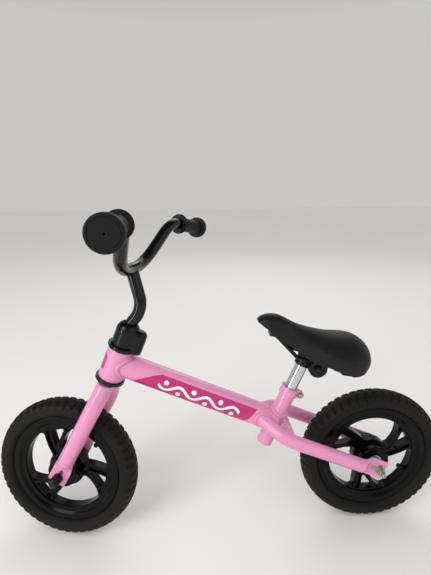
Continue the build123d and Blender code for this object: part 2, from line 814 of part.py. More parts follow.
def dropout_end(axle_point, run, outward, tube_offset, tube_radius_there, plate_inside):
    """The pressed end of a tube: a taper from round to flat, then a slotted plate."""
    across = outward.cross(run)
    crease = Plane(
        origin=axle_point + outward * tube_offset - run * flatten_start,
        x_dir=across,
        z_dir=run,
    )
    plate_start = flatten_start - flatten_length
    plate_middle = plate_inside + dropout_thickness / 2
    face = Plane(origin=axle_point + outward * plate_inside, x_dir=run, z_dir=outward)
    slot_half = axle_radius + slot_clearance
    mouth = dropout_past_axle + dropout_corner_radius
    with BuildPart() as end:
        with BuildSketch(crease):
            Circle(tube_radius_there)
        with BuildSketch(crease.offset(flatten_length)):
            with Locations((0, plate_middle - tube_offset)):
                Rectangle(dropout_width, dropout_thickness)
        loft()
        with BuildSketch(face) as plate:
            with Locations(((dropout_past_axle - plate_start) / 2, 0)):
                Rectangle(dropout_past_axle + plate_start, dropout_width)
            fillet(plate.vertices().group_by(Axis.X)[-1], dropout_corner_radius)
        extrude(amount=dropout_thickness)
        with BuildSketch(face):
            Circle(slot_half)
            with BuildLine():
                Polyline(
                    (0, slot_half),
                    (mouth, slot_half + dropout_slot_flare),
                    (mouth, -slot_half - dropout_slot_flare),
                    (0, -slot_half),
                    close=True,
                )
            make_face()
            with Locations((-tab_reach, 0)):
                Circle(tab_peg_diameter / 2 + tab_hole_clearance)
        extrude(amount=dropout_thickness, mode=Mode.SUBTRACT)
    return end


# Fork blades: thick tubes from the crown, spread round the tyre, pressed flat at the foot
blade_radius = blade_diameter / 2
blade_top_dir = (blade_top - blade_bend).normalized()
blade_crease = blade_foot - blade_dir * flatten_start
blade_end = dropout_end(
    front_wheel_point, blade_dir, steering.y_dir, blade_offset, blade_radius, front_hub_spacing / 2
)
with BuildPart() as fork_blade:
    with BuildLine():
        above_crown = blade_top + blade_top_dir * blade_diameter
        FilletPolyline(above_crown, blade_bend, blade_crease, radius=blade_bend_radius)
    with BuildSketch(Plane(origin=above_crown, z_dir=-blade_top_dir)):
        Circle(blade_radius)
    sweep()
    with BuildLine():
        bore_top = blade_top - blade_top_dir * blade_radius
        FilletPolyline(bore_top, blade_bend, blade_crease, radius=blade_bend_radius)
    with BuildSketch(Plane(origin=bore_top, z_dir=-blade_top_dir)):
        Circle(blade_radius - blade_wall)
    sweep(mode=Mode.SUBTRACT)
    split(bisect_by=steering.offset(crown_height), keep=Keep.BOTTOM)
    split(bisect_by=steering_middle, keep=Keep.TOP)
    with BuildSketch(steering.offset(crown_height)):
        Circle(steerer_radius)
    extrude(amount=-blade_diameter * 2, mode=Mode.SUBTRACT)
    add(blade_end.part)
write_pair(fork_blade, "fork_blade", steering_middle)

# Head tube and main tube
with BuildPart() as head_tube:
    with BuildSketch(steering.offset(head_bottom)):
        Circle(head_tube_diameter / 2)
        Circle(head_bore_radius, mode=Mode.SUBTRACT)
    extrude(amount=head_tube_length)
write(head_tube, "head_tube")

main_radius = main_tube_diameter / 2
seat_tube_radius = seat_tube_diameter / 2
with BuildPart() as main_tube:
    with BuildSketch(main_along):
        Circle(main_radius)
    extrude(amount=main_tube_length)
    with BuildSketch(main_along):
        Circle(main_radius - main_tube_wall)
    extrude(amount=main_tube_length - main_tube_wall, mode=Mode.SUBTRACT)
    with BuildSketch(steering.offset(head_bottom)):
        Circle(head_tube_diameter / 2)
    extrude(amount=head_tube_length, mode=Mode.SUBTRACT)
    with BuildSketch(seat):
        Circle(seat_tube_radius)
    extrude(amount=2 * main_tube_diameter, both=True, mode=Mode.SUBTRACT)
write(main_tube, "main_tube")

# Seat tube, open at the top for the post and slit at the rear under its collar
with BuildPart() as seat_tube:
    with BuildSketch(seat.offset(-seat_tube_below)):
        Circle(seat_tube_radius)
        Circle(seat_bore_radius, mode=Mode.SUBTRACT)
    extrude(amount=seat_tube_below + seat_tube_above)
    with BuildSketch(seat.offset(seat_tube_above)):
        with Locations((-seat_tube_radius, 0)):
            Rectangle(seat_tube_radius, seat_slit_width)
    extrude(amount=-seat_slit_length, mode=Mode.SUBTRACT)
write(seat_tube, "seat_tube")

# Stays: bent out from the main tube's side, then straight back to the rear axle
stay_radius = stay_diameter / 2
stay_crease = stay_length - flatten_start
with BuildPart() as stay_core:
    with BuildLine(stay_plane):
        FilletPolyline(
            (0, 0), (stay_offset, stay_offset), (stay_crease, stay_offset), radius=stay_bend_radius
        )
    with BuildSketch(Plane(origin=stay_start, z_dir=(stay_dir + left).normalized())):
        Circle(stay_radius)
    sweep()

stay_end = dropout_end(
    rear_axle_point, stay_dir, left, stay_offset, stay_radius, rear_hub_spacing / 2
)
with BuildPart() as stay:
    add(stay_core.part)
    with BuildLine(stay_plane):
        FilletPolyline(
            (0, 0), (stay_offset, stay_offset), (stay_crease, stay_offset), radius=stay_bend_radius
        )
    with BuildSketch(Plane(origin=stay_start, z_dir=(stay_dir + left).normalized())):
        Circle(stay_radius - stay_wall)
    sweep(mode=Mode.SUBTRACT)
    with BuildSketch(main_along):
        Circle(main_radius)
    extrude(amount=main_tube_length, mode=Mode.SUBTRACT)
    add(stay_end.part)
write_pair(stay, "stay", Plane.XZ)

# Bridge: a perforated plate behind the seat tube, let in between the stays
seat_on_stays = stay_plane.to_local_coords(seat_point).X
bridge_middle = seat_on_stays + seat_tube_radius + bridge_length / 4
bridge_pitch = 2 * (stay_offset - stay_diameter) / bridge_hole_columns
with BuildPart() as stay_bridge:
    with BuildSketch(stay_plane.offset(-bridge_thickness / 2)):
        with Locations((bridge_middle, 0)):
            Rectangle(bridge_length, 2 * stay_offset)
            with GridLocations(bridge_length / 2, bridge_pitch, bridge_hole_rows, bridge_hole_columns):
                Circle(bridge_hole_diameter / 2, mode=Mode.SUBTRACT)
    extrude(amount=bridge_thickness)
    add(stay_core.part, mode=Mode.SUBTRACT)
    add(mirror(stay_core.part, about=Plane.XZ, mode=Mode.PRIVATE), mode=Mode.SUBTRACT)
    with BuildSketch(seat):
        Circle(seat_tube_radius)
    extrude(amount=2 * main_tube_diameter, both=True, mode=Mode.SUBTRACT)
    with BuildSketch(main_along):
        Circle(main_radius)
    extrude(amount=main_tube_length, mode=Mode.SUBTRACT)
write(stay_bridge, "stay_bridge")


# Pinch collars with their bolts and nuts
def pinch_collar(upright, side_plane, bottom, height, bore, wall, gap, ear, setback, ear_round, bolt_bore):
    """A split ring with two ears at the rear and a hole for the pinch bolt."""
    middle = bottom + height / 2
    with BuildPart() as collar:
        with BuildSketch(upright.offset(bottom)):
            Circle(bore + wall)
        extrude(amount=height)
        for side in (1, -1):
            with BuildSketch(side_plane.offset(side * gap / 2)):
                with Locations((-setback / 2, middle)):
                    Rectangle(setback, 2 * ear_round)
                with Locations((-setback, middle)):
                    Circle(ear_round)
                    Circle(bolt_bore, mode=Mode.SUBTRACT)
            extrude(amount=side * ear)
        with BuildSketch(upright.offset(bottom)):
            Circle(bore)
            with Locations((-(bore + wall) / 2, 0)):
                Rectangle(bore + wall, gap)
        extrude(amount=height, mode=Mode.SUBTRACT)
    return collar


def pinch_bolt(centre, ahead, across, radius, right_reach, left_reach, head_radius, head_height):
    """A bolt across the ears, with a domed head on the left."""
    along = Plane(origin=centre, x_dir=ahead, z_dir=across)
    with BuildPart() as bolt:
        with BuildSketch(along.offset(-right_reach)):
            Circle(radius)
        extrude(amount=right_reach + left_reach)
        with BuildSketch(along.offset(left_reach)):
            Circle(head_radius)
        extrude(amount=head_height)
        fillet(bolt.faces().sort_by(Axis(centre, across))[-1].edges(), head_height * 0.7)
    return bolt


def hex_nut(centre, ahead, across, start, height, across_flats, bore):
    """A six-sided nut that starts a distance along the bolt."""
    with BuildPart() as nut:
        with BuildSketch(Plane(origin=centre, x_dir=ahead, z_dir=across).offset(start)):
            RegularPolygon(across_flats / 2, 6, major_radius=False)
            Circle(bore, mode=Mode.SUBTRACT)
        extrude(amount=height)
    return nut


collar_bottom = seat_tube_above - collar_height
seat_clamp_collar = pinch_collar(
    seat,
    seat_side,
    collar_bottom,
    collar_height,
    seat_tube_radius,
    collar_wall,
    collar_ear_gap,
    collar_ear_thickness,
    collar_bolt_offset,
    collar_ear_radius,
    collar_bolt_diameter / 2,
)
write(seat_clamp_collar, "seat_clamp_collar")

collar_bolt_point = seat.from_local_coords(
    Vector(-collar_bolt_offset, 0, collar_bottom + collar_height / 2)
)
collar_ear_outside = collar_ear_gap / 2 + collar_ear_thickness
seat_clamp_bolt = pinch_bolt(
    collar_bolt_point,
    seat_ahead,
    left,
    collar_bolt_diameter / 2,
    collar_ear_outside + collar_bolt_head_height,
    collar_ear_outside,
    collar_bolt_head_diameter / 2,
    collar_bolt_head_height,
)
write(seat_clamp_bolt, "seat_clamp_bolt")

seat_clamp_nut = hex_nut(
    collar_bolt_point,
    seat_ahead,
    -left,
    collar_ear_outside,
    collar_bolt_head_height,
    collar_bolt_head_diameter,
    collar_bolt_diameter / 2,
)
write(seat_clamp_nut, "seat_clamp_nut")

stem_clamp_collar = pinch_collar(
    steering,
    steering_section,
    stem_collar_bottom,
    stem_collar_height,
    steerer_radius,
    stem_collar_wall,
    stem_ear_gap,
    stem_ear_thickness,
    stem_bolt_offset,
    stem_ear_radius,
    stem_bolt_diameter / 2,
)
write(stem_clamp_collar, "stem_clamp_collar")

stem_bolt_point = steering.from_local_coords(
    Vector(-stem_bolt_offset, 0, stem_collar_bottom + stem_collar_height / 2)
)
stem_ear_outside = stem_ear_gap / 2 + stem_ear_thickness
stem_clamp_bolt = pinch_bolt(
    stem_bolt_point,
    parked_ahead,
    steering.y_dir,
    stem_bolt_diameter / 2,
    stem_ear_outside + stem_bolt_head_height,
    stem_ear_outside,
    stem_bolt_head_diameter / 2,
    stem_bolt_head_height,
)
write(stem_clamp_bolt, "stem_clamp_bolt")

stem_clamp_nut = hex_nut(
    stem_bolt_point,
    parked_ahead,
    -steering.y_dir,
    stem_ear_outside,
    stem_bolt_head_height,
    stem_bolt_head_diameter,
    stem_bolt_diameter / 2,
)
write(stem_clamp_nut, "stem_clamp_nut")


# Stem cover: a bell over the clamp with a lobe over the clamp's ears
def cover_lobe(skin):
    """The lobe behind the bell, rounded all over its top, drawn in by the skin."""
    half = cover_lobe_width / 2 - skin
    with BuildPart() as lobe:
        with BuildSketch(steering.offset(cover_bottom)):
            with Locations((cover_lobe_width / 2 - cover_lobe_reach, 0)):
                Circle(half)
            with Locations(((cover_lobe_width / 2 - cover_lobe_reach) / 2, 0)):
                Rectangle(cover_lobe_reach - cover_lobe_width / 2, 2 * half)
        extrude(amount=cover_lobe_height - skin)
        fillet(lobe.faces().sort_by(steering_axis)[-1].edges(), cover_lobe_round - skin)
    return lobe


def cover_form(skin):
    """The cover's form, drawn in by the thickness of its skin."""
    top = cover_bottom + cover_height - skin
    dome_top = cover_bottom + cover_dome_height
    dome_radius = cover_dome_diameter / 2 - skin
    top_radius = cover_top_diameter / 2 - skin / 2
    shoulder = (
        (dome_radius + top_radius) / 2 + dome_radius / 10,
        (dome_top + top) / 2 + dome_radius / 10,
    )
    with BuildPart() as form:
        with BuildSketch(steering_section):
            with BuildLine():
                Polyline(
                    (top_radius, top),
                    (0, top),
                    (0, cover_bottom),
                    (dome_radius, cover_bottom),
                    (dome_radius, dome_top),
                )
                ThreePointArc((dome_radius, dome_top), shoulder, (top_radius, top))
            make_face()
        revolve(axis=steering_axis)
        add(cover_lobe(skin).part)
    return form


cover_outside = cover_form(0)
cover_inside = cover_form(cover_wall)
with BuildPart() as stem_cover:
    add(cover_outside.part)
    with BuildSketch(steering.offset(cover_bottom)):
        Circle(cover_flange_diameter / 2)
    extrude(amount=cover_flange_height)
    add(cover_inside.part, mode=Mode.SUBTRACT)
    with BuildSketch(steering.offset(stem_collar_top)):
        Circle(cover_dome_diameter / 2 - cover_wall)
    extrude(amount=cover_wall)
    with BuildSketch(steering.offset(stem_collar_top)):
        Circle(steerer_radius + cover_gap)
    extrude(amount=cover_height, mode=Mode.SUBTRACT)
write(stem_cover, "stem_cover")

# Stem and handlebar, bent tubes welded together
quill_bottom = steerer_top - quill_insertion
bar_end_half = bar_width / 2
bar_centre = (bar_reach, 0, bar_height)
bar_top = bar_height + bar_rise
bar_end_run = bar_end_half - bar_rise_half
bar_end_reach = bar_reach - bar_rise_setback - bar_end_run * sin(radians(bar_sweep)) / cos(radians(bar_sweep))
bar_out = steering.from_local_coords(Vector(bar_end_reach, bar_end_half, bar_top))
bar_knee = steering.from_local_coords(Vector(bar_reach - bar_rise_setback, bar_rise_half, bar_top))
bar_inward = (bar_knee - bar_out).normalized()
bar_tip = steering.to_local_coords(bar_out + bar_inward * grip_end_wall)
with BuildPart() as handlebar:
    with BuildLine(steering) as bar_path:
        FilletPolyline(
            (bar_tip.X, -bar_tip.Y, bar_tip.Z),
            (bar_reach - bar_rise_setback, -bar_rise_half, bar_top),
            (bar_reach, -bar_flat_half, bar_height),
            (bar_reach, bar_flat_half, bar_height),
            (bar_reach - bar_rise_setback, bar_rise_half, bar_top),
            (bar_tip.X, bar_tip.Y, bar_tip.Z),
            radius=[bar_top_bend_radius, bar_bend_radius, bar_bend_radius, bar_top_bend_radius],
        )
    with BuildSketch(Plane(origin=bar_path.line @ 0, z_dir=bar_path.line % 0)):
        Circle(bar_radius)
        Circle(bar_radius - bar_wall, mode=Mode.SUBTRACT)
    sweep()
write(handlebar, "handlebar")

with BuildPart() as stem:
    with BuildLine(steering):
        FilletPolyline(
            (0, 0, quill_bottom),
            (0, 0, stem_bend_height),
            (-stem_kick_back, 0, stem_kick_height),
            bar_centre,
            radius=stem_bend_radius,
        )
    with BuildSketch(steering.offset(quill_bottom)):
        Circle(bar_radius)
        Circle(bar_radius - bar_wall, mode=Mode.SUBTRACT)
    sweep()
    bar_across = Plane(
        origin=steering.from_local_coords(Vector(*bar_centre)), x_dir=parked_ahead, z_dir=steering.y_dir
    )
    with BuildSketch(bar_across):
        Circle(bar_radius)
    extrude(amount=bar_flat_half, both=True, mode=Mode.SUBTRACT)
write(stem, "stem")

# Grips: rubber sleeves with a collar at each end and shallow rings between
grip_section = Plane(origin=bar_out, x_dir=steer_up, z_dir=steer_up.cross(bar_inward))
grip_ring_start = grip_outer_flange_width + grip_ring_width
grip_ring_room = grip_length - grip_inner_flange_width - grip_ring_width - grip_ring_start
with BuildPart() as grip:
    with BuildSketch(grip_section) as grip_profile:
        with BuildLine():
            Polyline(
                (grip_end_hole_diameter / 2, 0),
                (grip_outer_flange_diameter / 2, 0),
                (grip_outer_flange_diameter / 2, grip_outer_flange_width),
                (grip_body_diameter / 2, grip_outer_flange_width),
                (grip_body_diameter / 2, grip_length - grip_inner_flange_width),
                (grip_inner_flange_diameter / 2, grip_length - grip_inner_flange_width),
                (grip_inner_flange_diameter / 2, grip_length),
                (bar_radius, grip_length),
                (bar_radius, grip_end_wall),
                (grip_end_hole_diameter / 2, grip_end_wall),
                close=True,
            )
        make_face()
        sleeve_edge = bar_radius + grip_edge_radius
        outer_corners = [corner for corner in grip_profile.vertices() if corner.X > sleeve_edge]
        fillet(outer_corners, grip_edge_radius)
        with Locations((grip_body_diameter / 2, grip_ring_start + grip_ring_room / 2)):
            with GridLocations(1, grip_ring_room / (grip_ring_count - 1), 1, grip_ring_count):
                Rectangle(2 * grip_ring_depth, grip_ring_width, mode=Mode.SUBTRACT)
        with Locations((grip_outer_flange_diameter / 2 - grip_end_groove_inset, 0)):
            Rectangle(grip_end_groove_width, 2 * grip_end_groove_depth, mode=Mode.SUBTRACT)
    revolve(axis=Axis(bar_out, bar_inward))
write_pair(grip, "grip", steering_middle)

# Seat post and the saddle clamp
with BuildPart() as seat_post:
    with BuildSketch(seat.offset(post_bottom)):
        Circle(post_radius)
        Circle(post_radius - post_wall, mode=Mode.SUBTRACT)
    extrude(amount=post_top - post_bottom)
write(seat_post, "seat_post")

clamp_bolt_radius = clamp_bolt_diameter / 2
saddle_clamp_band = pinch_collar(
    seat,
    seat_side,
    post_top - band_height,
    band_height,
    post_radius,
    band_wall,
    band_ear_gap,
    band_ear_thickness,
    clamp_bolt_offset,
    band_ear_radius,
    clamp_bolt_radius + clamp_bolt_clearance,
)
write(saddle_clamp_band, "saddle_clamp_band")

rail_radius = rail_diameter / 2
cheek_radius = cheek_diameter / 2
band_outside = band_ear_gap / 2 + band_ear_thickness
inner_cheek_start = band_outside + cheek_gap
inner_cheek_end = rail_half_spacing - cheek_gap
outer_cheek_start = rail_half_spacing + cheek_gap
outer_cheek_end = outer_cheek_start + cheek_outer_width
with BuildSketch() as cheek_outline:
    Circle(cheek_radius)
    Circle(clamp_bolt_radius, mode=Mode.SUBTRACT)
    with PolarLocations(cheek_radius, cheek_teeth):
        Rectangle(2 * cheek_tooth_depth, cheek_tooth_width, mode=Mode.SUBTRACT)
with BuildPart() as saddle_clamp_cheeks:
    for side in (1, -1):
        with BuildSketch(clamp_side.offset(side * inner_cheek_start)):
            add(cheek_outline.sketch)
        extrude(amount=side * (inner_cheek_end - inner_cheek_start))
        with BuildSketch(clamp_side.offset(side * outer_cheek_start)):
            add(cheek_outline.sketch)
        extrude(amount=side * cheek_outer_width)
    with BuildSketch(Plane(origin=clamp_point, x_dir=left, z_dir=saddle_ahead)):
        with Locations((rail_half_spacing, rail_height), (-rail_half_spacing, rail_height)):
            Circle(rail_radius + rail_clearance)
    extrude(amount=cheek_diameter, both=True, mode=Mode.SUBTRACT)
write(saddle_clamp_cheeks, "saddle_clamp_cheeks")

clamp_bolt_half = outer_cheek_end + clamp_nut_height + clamp_bolt_stick_out
with BuildPart() as saddle_clamp_bolt:
    with BuildSketch(clamp_side.offset(-clamp_bolt_half)):
        Circle(clamp_bolt_radius)
    extrude(amount=2 * clamp_bolt_half)
    chamfer(saddle_clamp_bolt.edges().filter_by(GeomType.CIRCLE), clamp_bolt_radius / 5)
write(saddle_clamp_bolt, "saddle_clamp_bolt")

with BuildPart() as saddle_clamp_nuts:
    for side in (1, -1):
        with BuildSketch(clamp_side.offset(side * outer_cheek_end)):
            RegularPolygon(clamp_nut_across_flats / 2, 6, major_radius=False)
            Circle(clamp_bolt_radius, mode=Mode.SUBTRACT)
        extrude(amount=side * clamp_nut_height)
write(saddle_clamp_nuts, "saddle_clamp_nuts")

# Saddle rails: one bent wire, its two ends at the rear
rail_radii = [rail_bend_radius, rail_bend_radius, rail_nose_radius]
rail_radii += reversed(rail_radii)
with BuildPart() as saddle_rails:
    with BuildLine(saddle) as rail_path:
        FilletPolyline(
            (rail_rear, rail_rear_half_spacing, rail_rear_height),
            (-rail_straight_half, rail_half_spacing, rail_height),
            (rail_straight_half, rail_half_spacing, rail_height),
            (rail_nose, rail_nose_half_spacing, rail_nose_height),
            (rail_nose, -rail_nose_half_spacing, rail_nose_height),
            (rail_straight_half, -rail_half_spacing, rail_height),
            (-rail_straight_half, -rail_half_spacing, rail_height),
            (rail_rear, -rail_rear_half_spacing, rail_rear_height),
            radius=rail_radii,
        )
    with BuildSketch(Plane(origin=rail_path.line @ 0, z_dir=rail_path.line % 0)):
        Circle(rail_radius)
    sweep()
write(saddle_rails, "saddle_rails")


# Saddle form, given along the saddle from 0 at the rear to 1 at the nose
def ease(share):
    """A smooth step from 0 to 1."""
    held = min(max(share, 0), 1)
    return (1 - cos(pi * held)) / 2


def rear_round(share):
    """How far a place has come into the rounded rear, from 0 to 1."""
    return max((saddle_rear_end - share) / saddle_rear_end, 0) ** 2


def nose_round(share):
    """How far a place has come into the rounded nose, from 0 to 1."""
    return max((share - saddle_nose_start) / (1 - saddle_nose_start), 0) ** 2


def end_round(share):
    """How far a place has come into either rounded end, from 0 to 1."""
    return rear_round(share) + nose_round(share)


def half_width(share):
    """Half the saddle's width."""
    narrowing = ease((share - saddle_rear_end) / (saddle_nose_start - saddle_rear_end))
    body = saddle_width + (saddle_nose_width - saddle_width) * narrowing
    return body / 2 * sqrt(1 - saddle_end_taper * end_round(share))


def foot_height(share):
    """Height of the saddle's lower edge."""
    rise = ease((share - 1.5 * saddle_rear_end) / (saddle_nose_start - saddle_rear_end))
    body = saddle_rear_bottom + (saddle_nose_bottom - saddle_rear_bottom) * rise
    return body + saddle_rear_lift * rear_round(share) + saddle_nose_lift * nose_round(share)


def top_height(share):
    """Height of the saddle's crown."""
    middle = (share - saddle_rear_end) / (saddle_nose_start - saddle_rear_end)
    dip = saddle_dip * max(sin(pi * min(max(middle, 0), 1)), 0)
    return saddle_crown - dip - saddle_end_drop * end_round(share)


def arch_rise(share):
    """How far the underside arches up over its lower edges."""
    return saddle_arch * half_width(share) * (1 - end_round(share) / 2)


def arch_circle(share):
    """Radius and centre height of the arc under the saddle."""
    foot = saddle_foot_share * half_width(share)
    rise = arch_rise(share)
    radius = (foot * foot + rise * rise) / (2 * rise)
    return radius, foot_height(share) + rise - radius


def saddle_station(share):
    """The plane across the saddle at a place along it."""
    along = saddle_nose - saddle_length * (1 - share)
    return Plane(origin=clamp_point + saddle_ahead * along, x_dir=left, z_dir=saddle_ahead)


pan_stations = (0.1, 0.17, 0.33, 0.52, 0.7, 0.87)
cover_stations = (0, 0.045) + pan_stations + (0.96, 1)

with BuildPart() as saddle_cover:
    for share in cover_stations:
        wide = half_width(share)
        foot = saddle_foot_share * wide
        low = foot_height(share)
        side = low + (top_height(share) - low) * saddle_side_share
        bulge = (foot + wide) / 2 + (wide - foot) / 4
        with BuildSketch(saddle_station(share)):
            with BuildLine():
                ThreePointArc((wide, side), (0, top_height(share)), (-wide, side))
                ThreePointArc((-wide, side), (-bulge, (low + side) / 2), (-foot, low))
                ThreePointArc((-foot, low), (0, low + arch_rise(share)), (foot, low))
                ThreePointArc((foot, low), (bulge, (low + side) / 2), (wide, side))
            make_face()
    loft()
write(saddle_cover, "saddle_cover")

# Saddle base: a pan under the cover with blocks that hold the rails
with BuildPart() as saddle_base:
    for share in pan_stations:
        radius, centre = arch_circle(share)
        edge = pan_share * saddle_foot_share * half_width(share)
        upper = radius - pan_gap
        lower = upper - pan_thickness
        upper_edge = centre + sqrt(upper * upper - edge * edge)
        lower_edge = centre + sqrt(lower * lower - edge * edge)
        with BuildSketch(saddle_station(share)):
            with BuildLine():
                ThreePointArc((edge, upper_edge), (0, centre + upper), (-edge, upper_edge))
                Line((-edge, upper_edge), (-edge, lower_edge))
                ThreePointArc((-edge, lower_edge), (0, centre + lower), (edge, lower_edge))
                Line((edge, lower_edge), (edge, upper_edge))
            make_face()
    loft()
    rear_radius, rear_centre = arch_circle(saddle_rear_end)
    block_edge = rail_rear_half_spacing + block_width / 2
    rear_block_top = rear_centre + sqrt((rear_radius - pan_gap) ** 2 - block_edge**2) - pan_thickness / 4
    rear_block_bottom = rail_rear_height - rail_radius - block_below_rail
    with BuildSketch(saddle.offset(rear_block_bottom)):
        with Locations((rail_rear, rail_rear_half_spacing), (rail_rear, -rail_rear_half_spacing)):
            Rectangle(block_length, block_width)
    extrude(amount=rear_block_top - rear_block_bottom)
    nose_block_share = 1 - (saddle_nose - rail_nose + block_length / 2) / saddle_length
    nose_radius, nose_centre = arch_circle(nose_block_share)
    nose_block_half = rail_nose_half_spacing + block_below_rail
    nose_block_top = nose_centre + sqrt((nose_radius - pan_gap) ** 2 - nose_block_half**2) - pan_thickness / 4
    nose_block_bottom = rail_nose_height - rail_radius - block_below_rail
    with BuildSketch(saddle.offset(nose_block_bottom)):
        with Locations((rail_nose, 0)):
            Rectangle(block_length, 2 * nose_block_half)
    extrude(amount=nose_block_top - nose_block_bottom)
    add(saddle_rails.part, mode=Mode.SUBTRACT)
write(saddle_base, "saddle_base")
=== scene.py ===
import json
from math import atan2, cos, pi, radians, sin, sqrt

import bmesh
import bpy
from bpy.props import FloatProperty, FloatVectorProperty, IntProperty, PointerProperty
from bpy.types import Operator, Panel, PropertyGroup
from mathutils import Matrix, Vector


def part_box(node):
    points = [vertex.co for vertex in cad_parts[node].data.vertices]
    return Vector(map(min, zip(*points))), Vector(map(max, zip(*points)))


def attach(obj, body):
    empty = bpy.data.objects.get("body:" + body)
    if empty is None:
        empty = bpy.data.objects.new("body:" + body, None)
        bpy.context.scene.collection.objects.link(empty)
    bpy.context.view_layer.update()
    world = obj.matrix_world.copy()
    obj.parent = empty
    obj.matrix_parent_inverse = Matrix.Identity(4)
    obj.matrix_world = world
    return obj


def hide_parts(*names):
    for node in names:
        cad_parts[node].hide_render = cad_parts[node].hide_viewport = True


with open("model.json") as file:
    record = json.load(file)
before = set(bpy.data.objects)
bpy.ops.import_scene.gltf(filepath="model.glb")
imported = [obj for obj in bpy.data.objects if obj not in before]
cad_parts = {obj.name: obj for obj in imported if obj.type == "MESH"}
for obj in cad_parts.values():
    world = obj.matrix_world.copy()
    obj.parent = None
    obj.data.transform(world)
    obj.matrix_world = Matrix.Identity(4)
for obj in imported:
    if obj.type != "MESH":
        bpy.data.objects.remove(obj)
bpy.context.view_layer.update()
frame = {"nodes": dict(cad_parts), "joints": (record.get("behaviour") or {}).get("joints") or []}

bl_info = {
    "name": "Balance bike",
    "version": (1, 0, 0),
    "blender": (4, 5, 0),
    "location": "3D View > Sidebar > Bike",
    "description": "Gives the packed balance bike its finishes, padding, welds and picture",
    "category": "Object",
}

NODES = frame["nodes"]
JOINTS = {joint["name"]: joint for joint in frame["joints"]}

# Axes of the bike, read from its joints; the steering joint sits where the main tube starts
LEFT = Vector((0, 1, 0))
HEAD_POINT = Vector(JOINTS["steering"]["pos_m"])
STEER_UP = Vector(JOINTS["steering"]["axis"])
FRONT_AXLE = Vector(JOINTS["front_wheel_spin"]["pos_m"])
FRONT_LEFT = Vector(JOINTS["front_wheel_spin"]["axis"])
REAR_AXLE = Vector(JOINTS["rear_wheel_spin"]["pos_m"])
SEAT_UP = Vector(JOINTS["seat_height"]["axis"])
SADDLE_AHEAD = Vector(JOINTS["saddle_slide"]["axis"])
SADDLE_UP = SADDLE_AHEAD.cross(LEFT)

# Tubes of the frame, in metres, as the solids have them
MAIN_SLOPE = radians(24.2)
MAIN_DIR = Vector((-cos(MAIN_SLOPE), 0, -sin(MAIN_SLOPE)))
MAIN_RADIUS = 0.0225
HEAD_RADIUS = 0.0233
SEAT_RADIUS = 0.015
STAY_RADIUS = 0.0127
AXLE_RADIUS = 0.004
SEAT_POINT = HEAD_POINT + MAIN_DIR * 0.325
STAY_START = SEAT_POINT - MAIN_DIR * 0.048
STAY_DIR = (REAR_AXLE - STAY_START).normalized()

# Section of a tyre, in millimetres: radius and distance from the wheel's middle plane
BEAD_INSIDE = (109.0, 9.6)
BEAD_FOOT = [(101.5, 7.5), (101.5, 12.5), (109.0, 12.5)]
WALL_FOOT, WALL_MIDDLE, WALL_TOP = (109.5, 15.0), (114.25, 20.85), (122.0, 22.3)
BEND_MIDDLE, BEND_TOP = (128.1, 21.55), (133.0, 19.3)
CROWN_MIDDLE, CROWN_TOP = (138.25, 9.65), (140.0, 0.0)
CASING_MIDDLE, CASING_TOP = (122.0, 18.1), (134.5, 0.0)

# Cuts of the tread: depths in millimetres, and the bands over which a cut comes and goes,
# where FLANK is in shares of a pitch, ACROSS from the middle plane and RADII from the axle
SLOT_DEPTH, GROOVE_DEPTH, NOTCH_DEPTH = 2.6, 2.0, 0.8
SLOT_LEAN, SLOT_START = 0.012, 6
SLOT_FLANK, SLOT_ACROSS, SLOT_RADII = (0.04, 0.26), (5.5, 8.0), (128.5, 133.0)
NOTCH_FLANK, NOTCH_RADII = (0.1, 0.2), (122.8, 123.6, 126.6, 127.4)
GROOVE_ACROSS = (4.6, 5.4, 7.0, 7.8)
GAP_FLANK, GAP_ACROSS = (0.1, 0.17), (5.0, 5.6)

# Rubber of the tyres, in metres from the axle: where the wall's ribs end and floor dust starts
RIB_PITCH = 0.0021
RIB_END = (0.1285, 0.1315)
DUST_START = (0.1375, 0.1405)

# Thread rings, in metres, with the height of a crest as a share of the pitch
THREAD_SINK = 0.0001
THREAD_CREST = 0.34
NUT_GAP, TIP_GAP = 0.0016, 0.001

# Films, in metres: the main tube's band and motifs, measured from the head, and the head's shield
BAND_WIDTH = 0.037
BAND_START, BAND_START_LEAN, BAND_START_CURVE = 0.04, 0.045, 1.6
BAND_END, BAND_END_LEAN = 0.262, 0.016
WAVE_SPAN, WAVE_LENGTH, WAVE_SWING, WAVE_WIDTH = (0.085, 0.2465), 0.0538, 0.0068, 0.0052
DOT_COUNT, DOT_OFFSET, DOT_RADIUS = 6, 0.0072, 0.0046
SHIELD_WIDTH, SHIELD_HALF, SHIELD_CURVE = 0.036, 0.018, 0.006
HEAD_DOT_STEP, HEAD_DOT_RADIUS = 0.01, 0.0034

# Floor, and the camera fitted to the photograph, whose picture is 575 pixels high
FLOOR_REACH, FLOOR_HEIGHT = 12.0, -0.0004
PICTURE_HEIGHT, FOCAL_PIXELS = 575, 388.85
CAMERA_PLACE = (0.04011, 0.66627, 0.66479)
CAMERA_AHEAD = (-0.04766, -0.96748, -0.24843)
CAMERA_RIGHT = (-0.99857, 0.05216, -0.01156)

# Places of a Mix node's colour sockets, which share their names with its number sockets
MIX_A, MIX_B, MIX_RESULT = 6, 7, 2


def linear(hex_colour):
    """An sRGB hex colour as linear red, green, blue and alpha."""
    shares = [int(hex_colour[place : place + 2], 16) / 255 for place in (1, 3, 5)]
    lin = [share / 12.92 if share <= 0.04045 else ((share + 0.055) / 1.055) ** 2.4 for share in shares]
    return (*lin, 1.0)


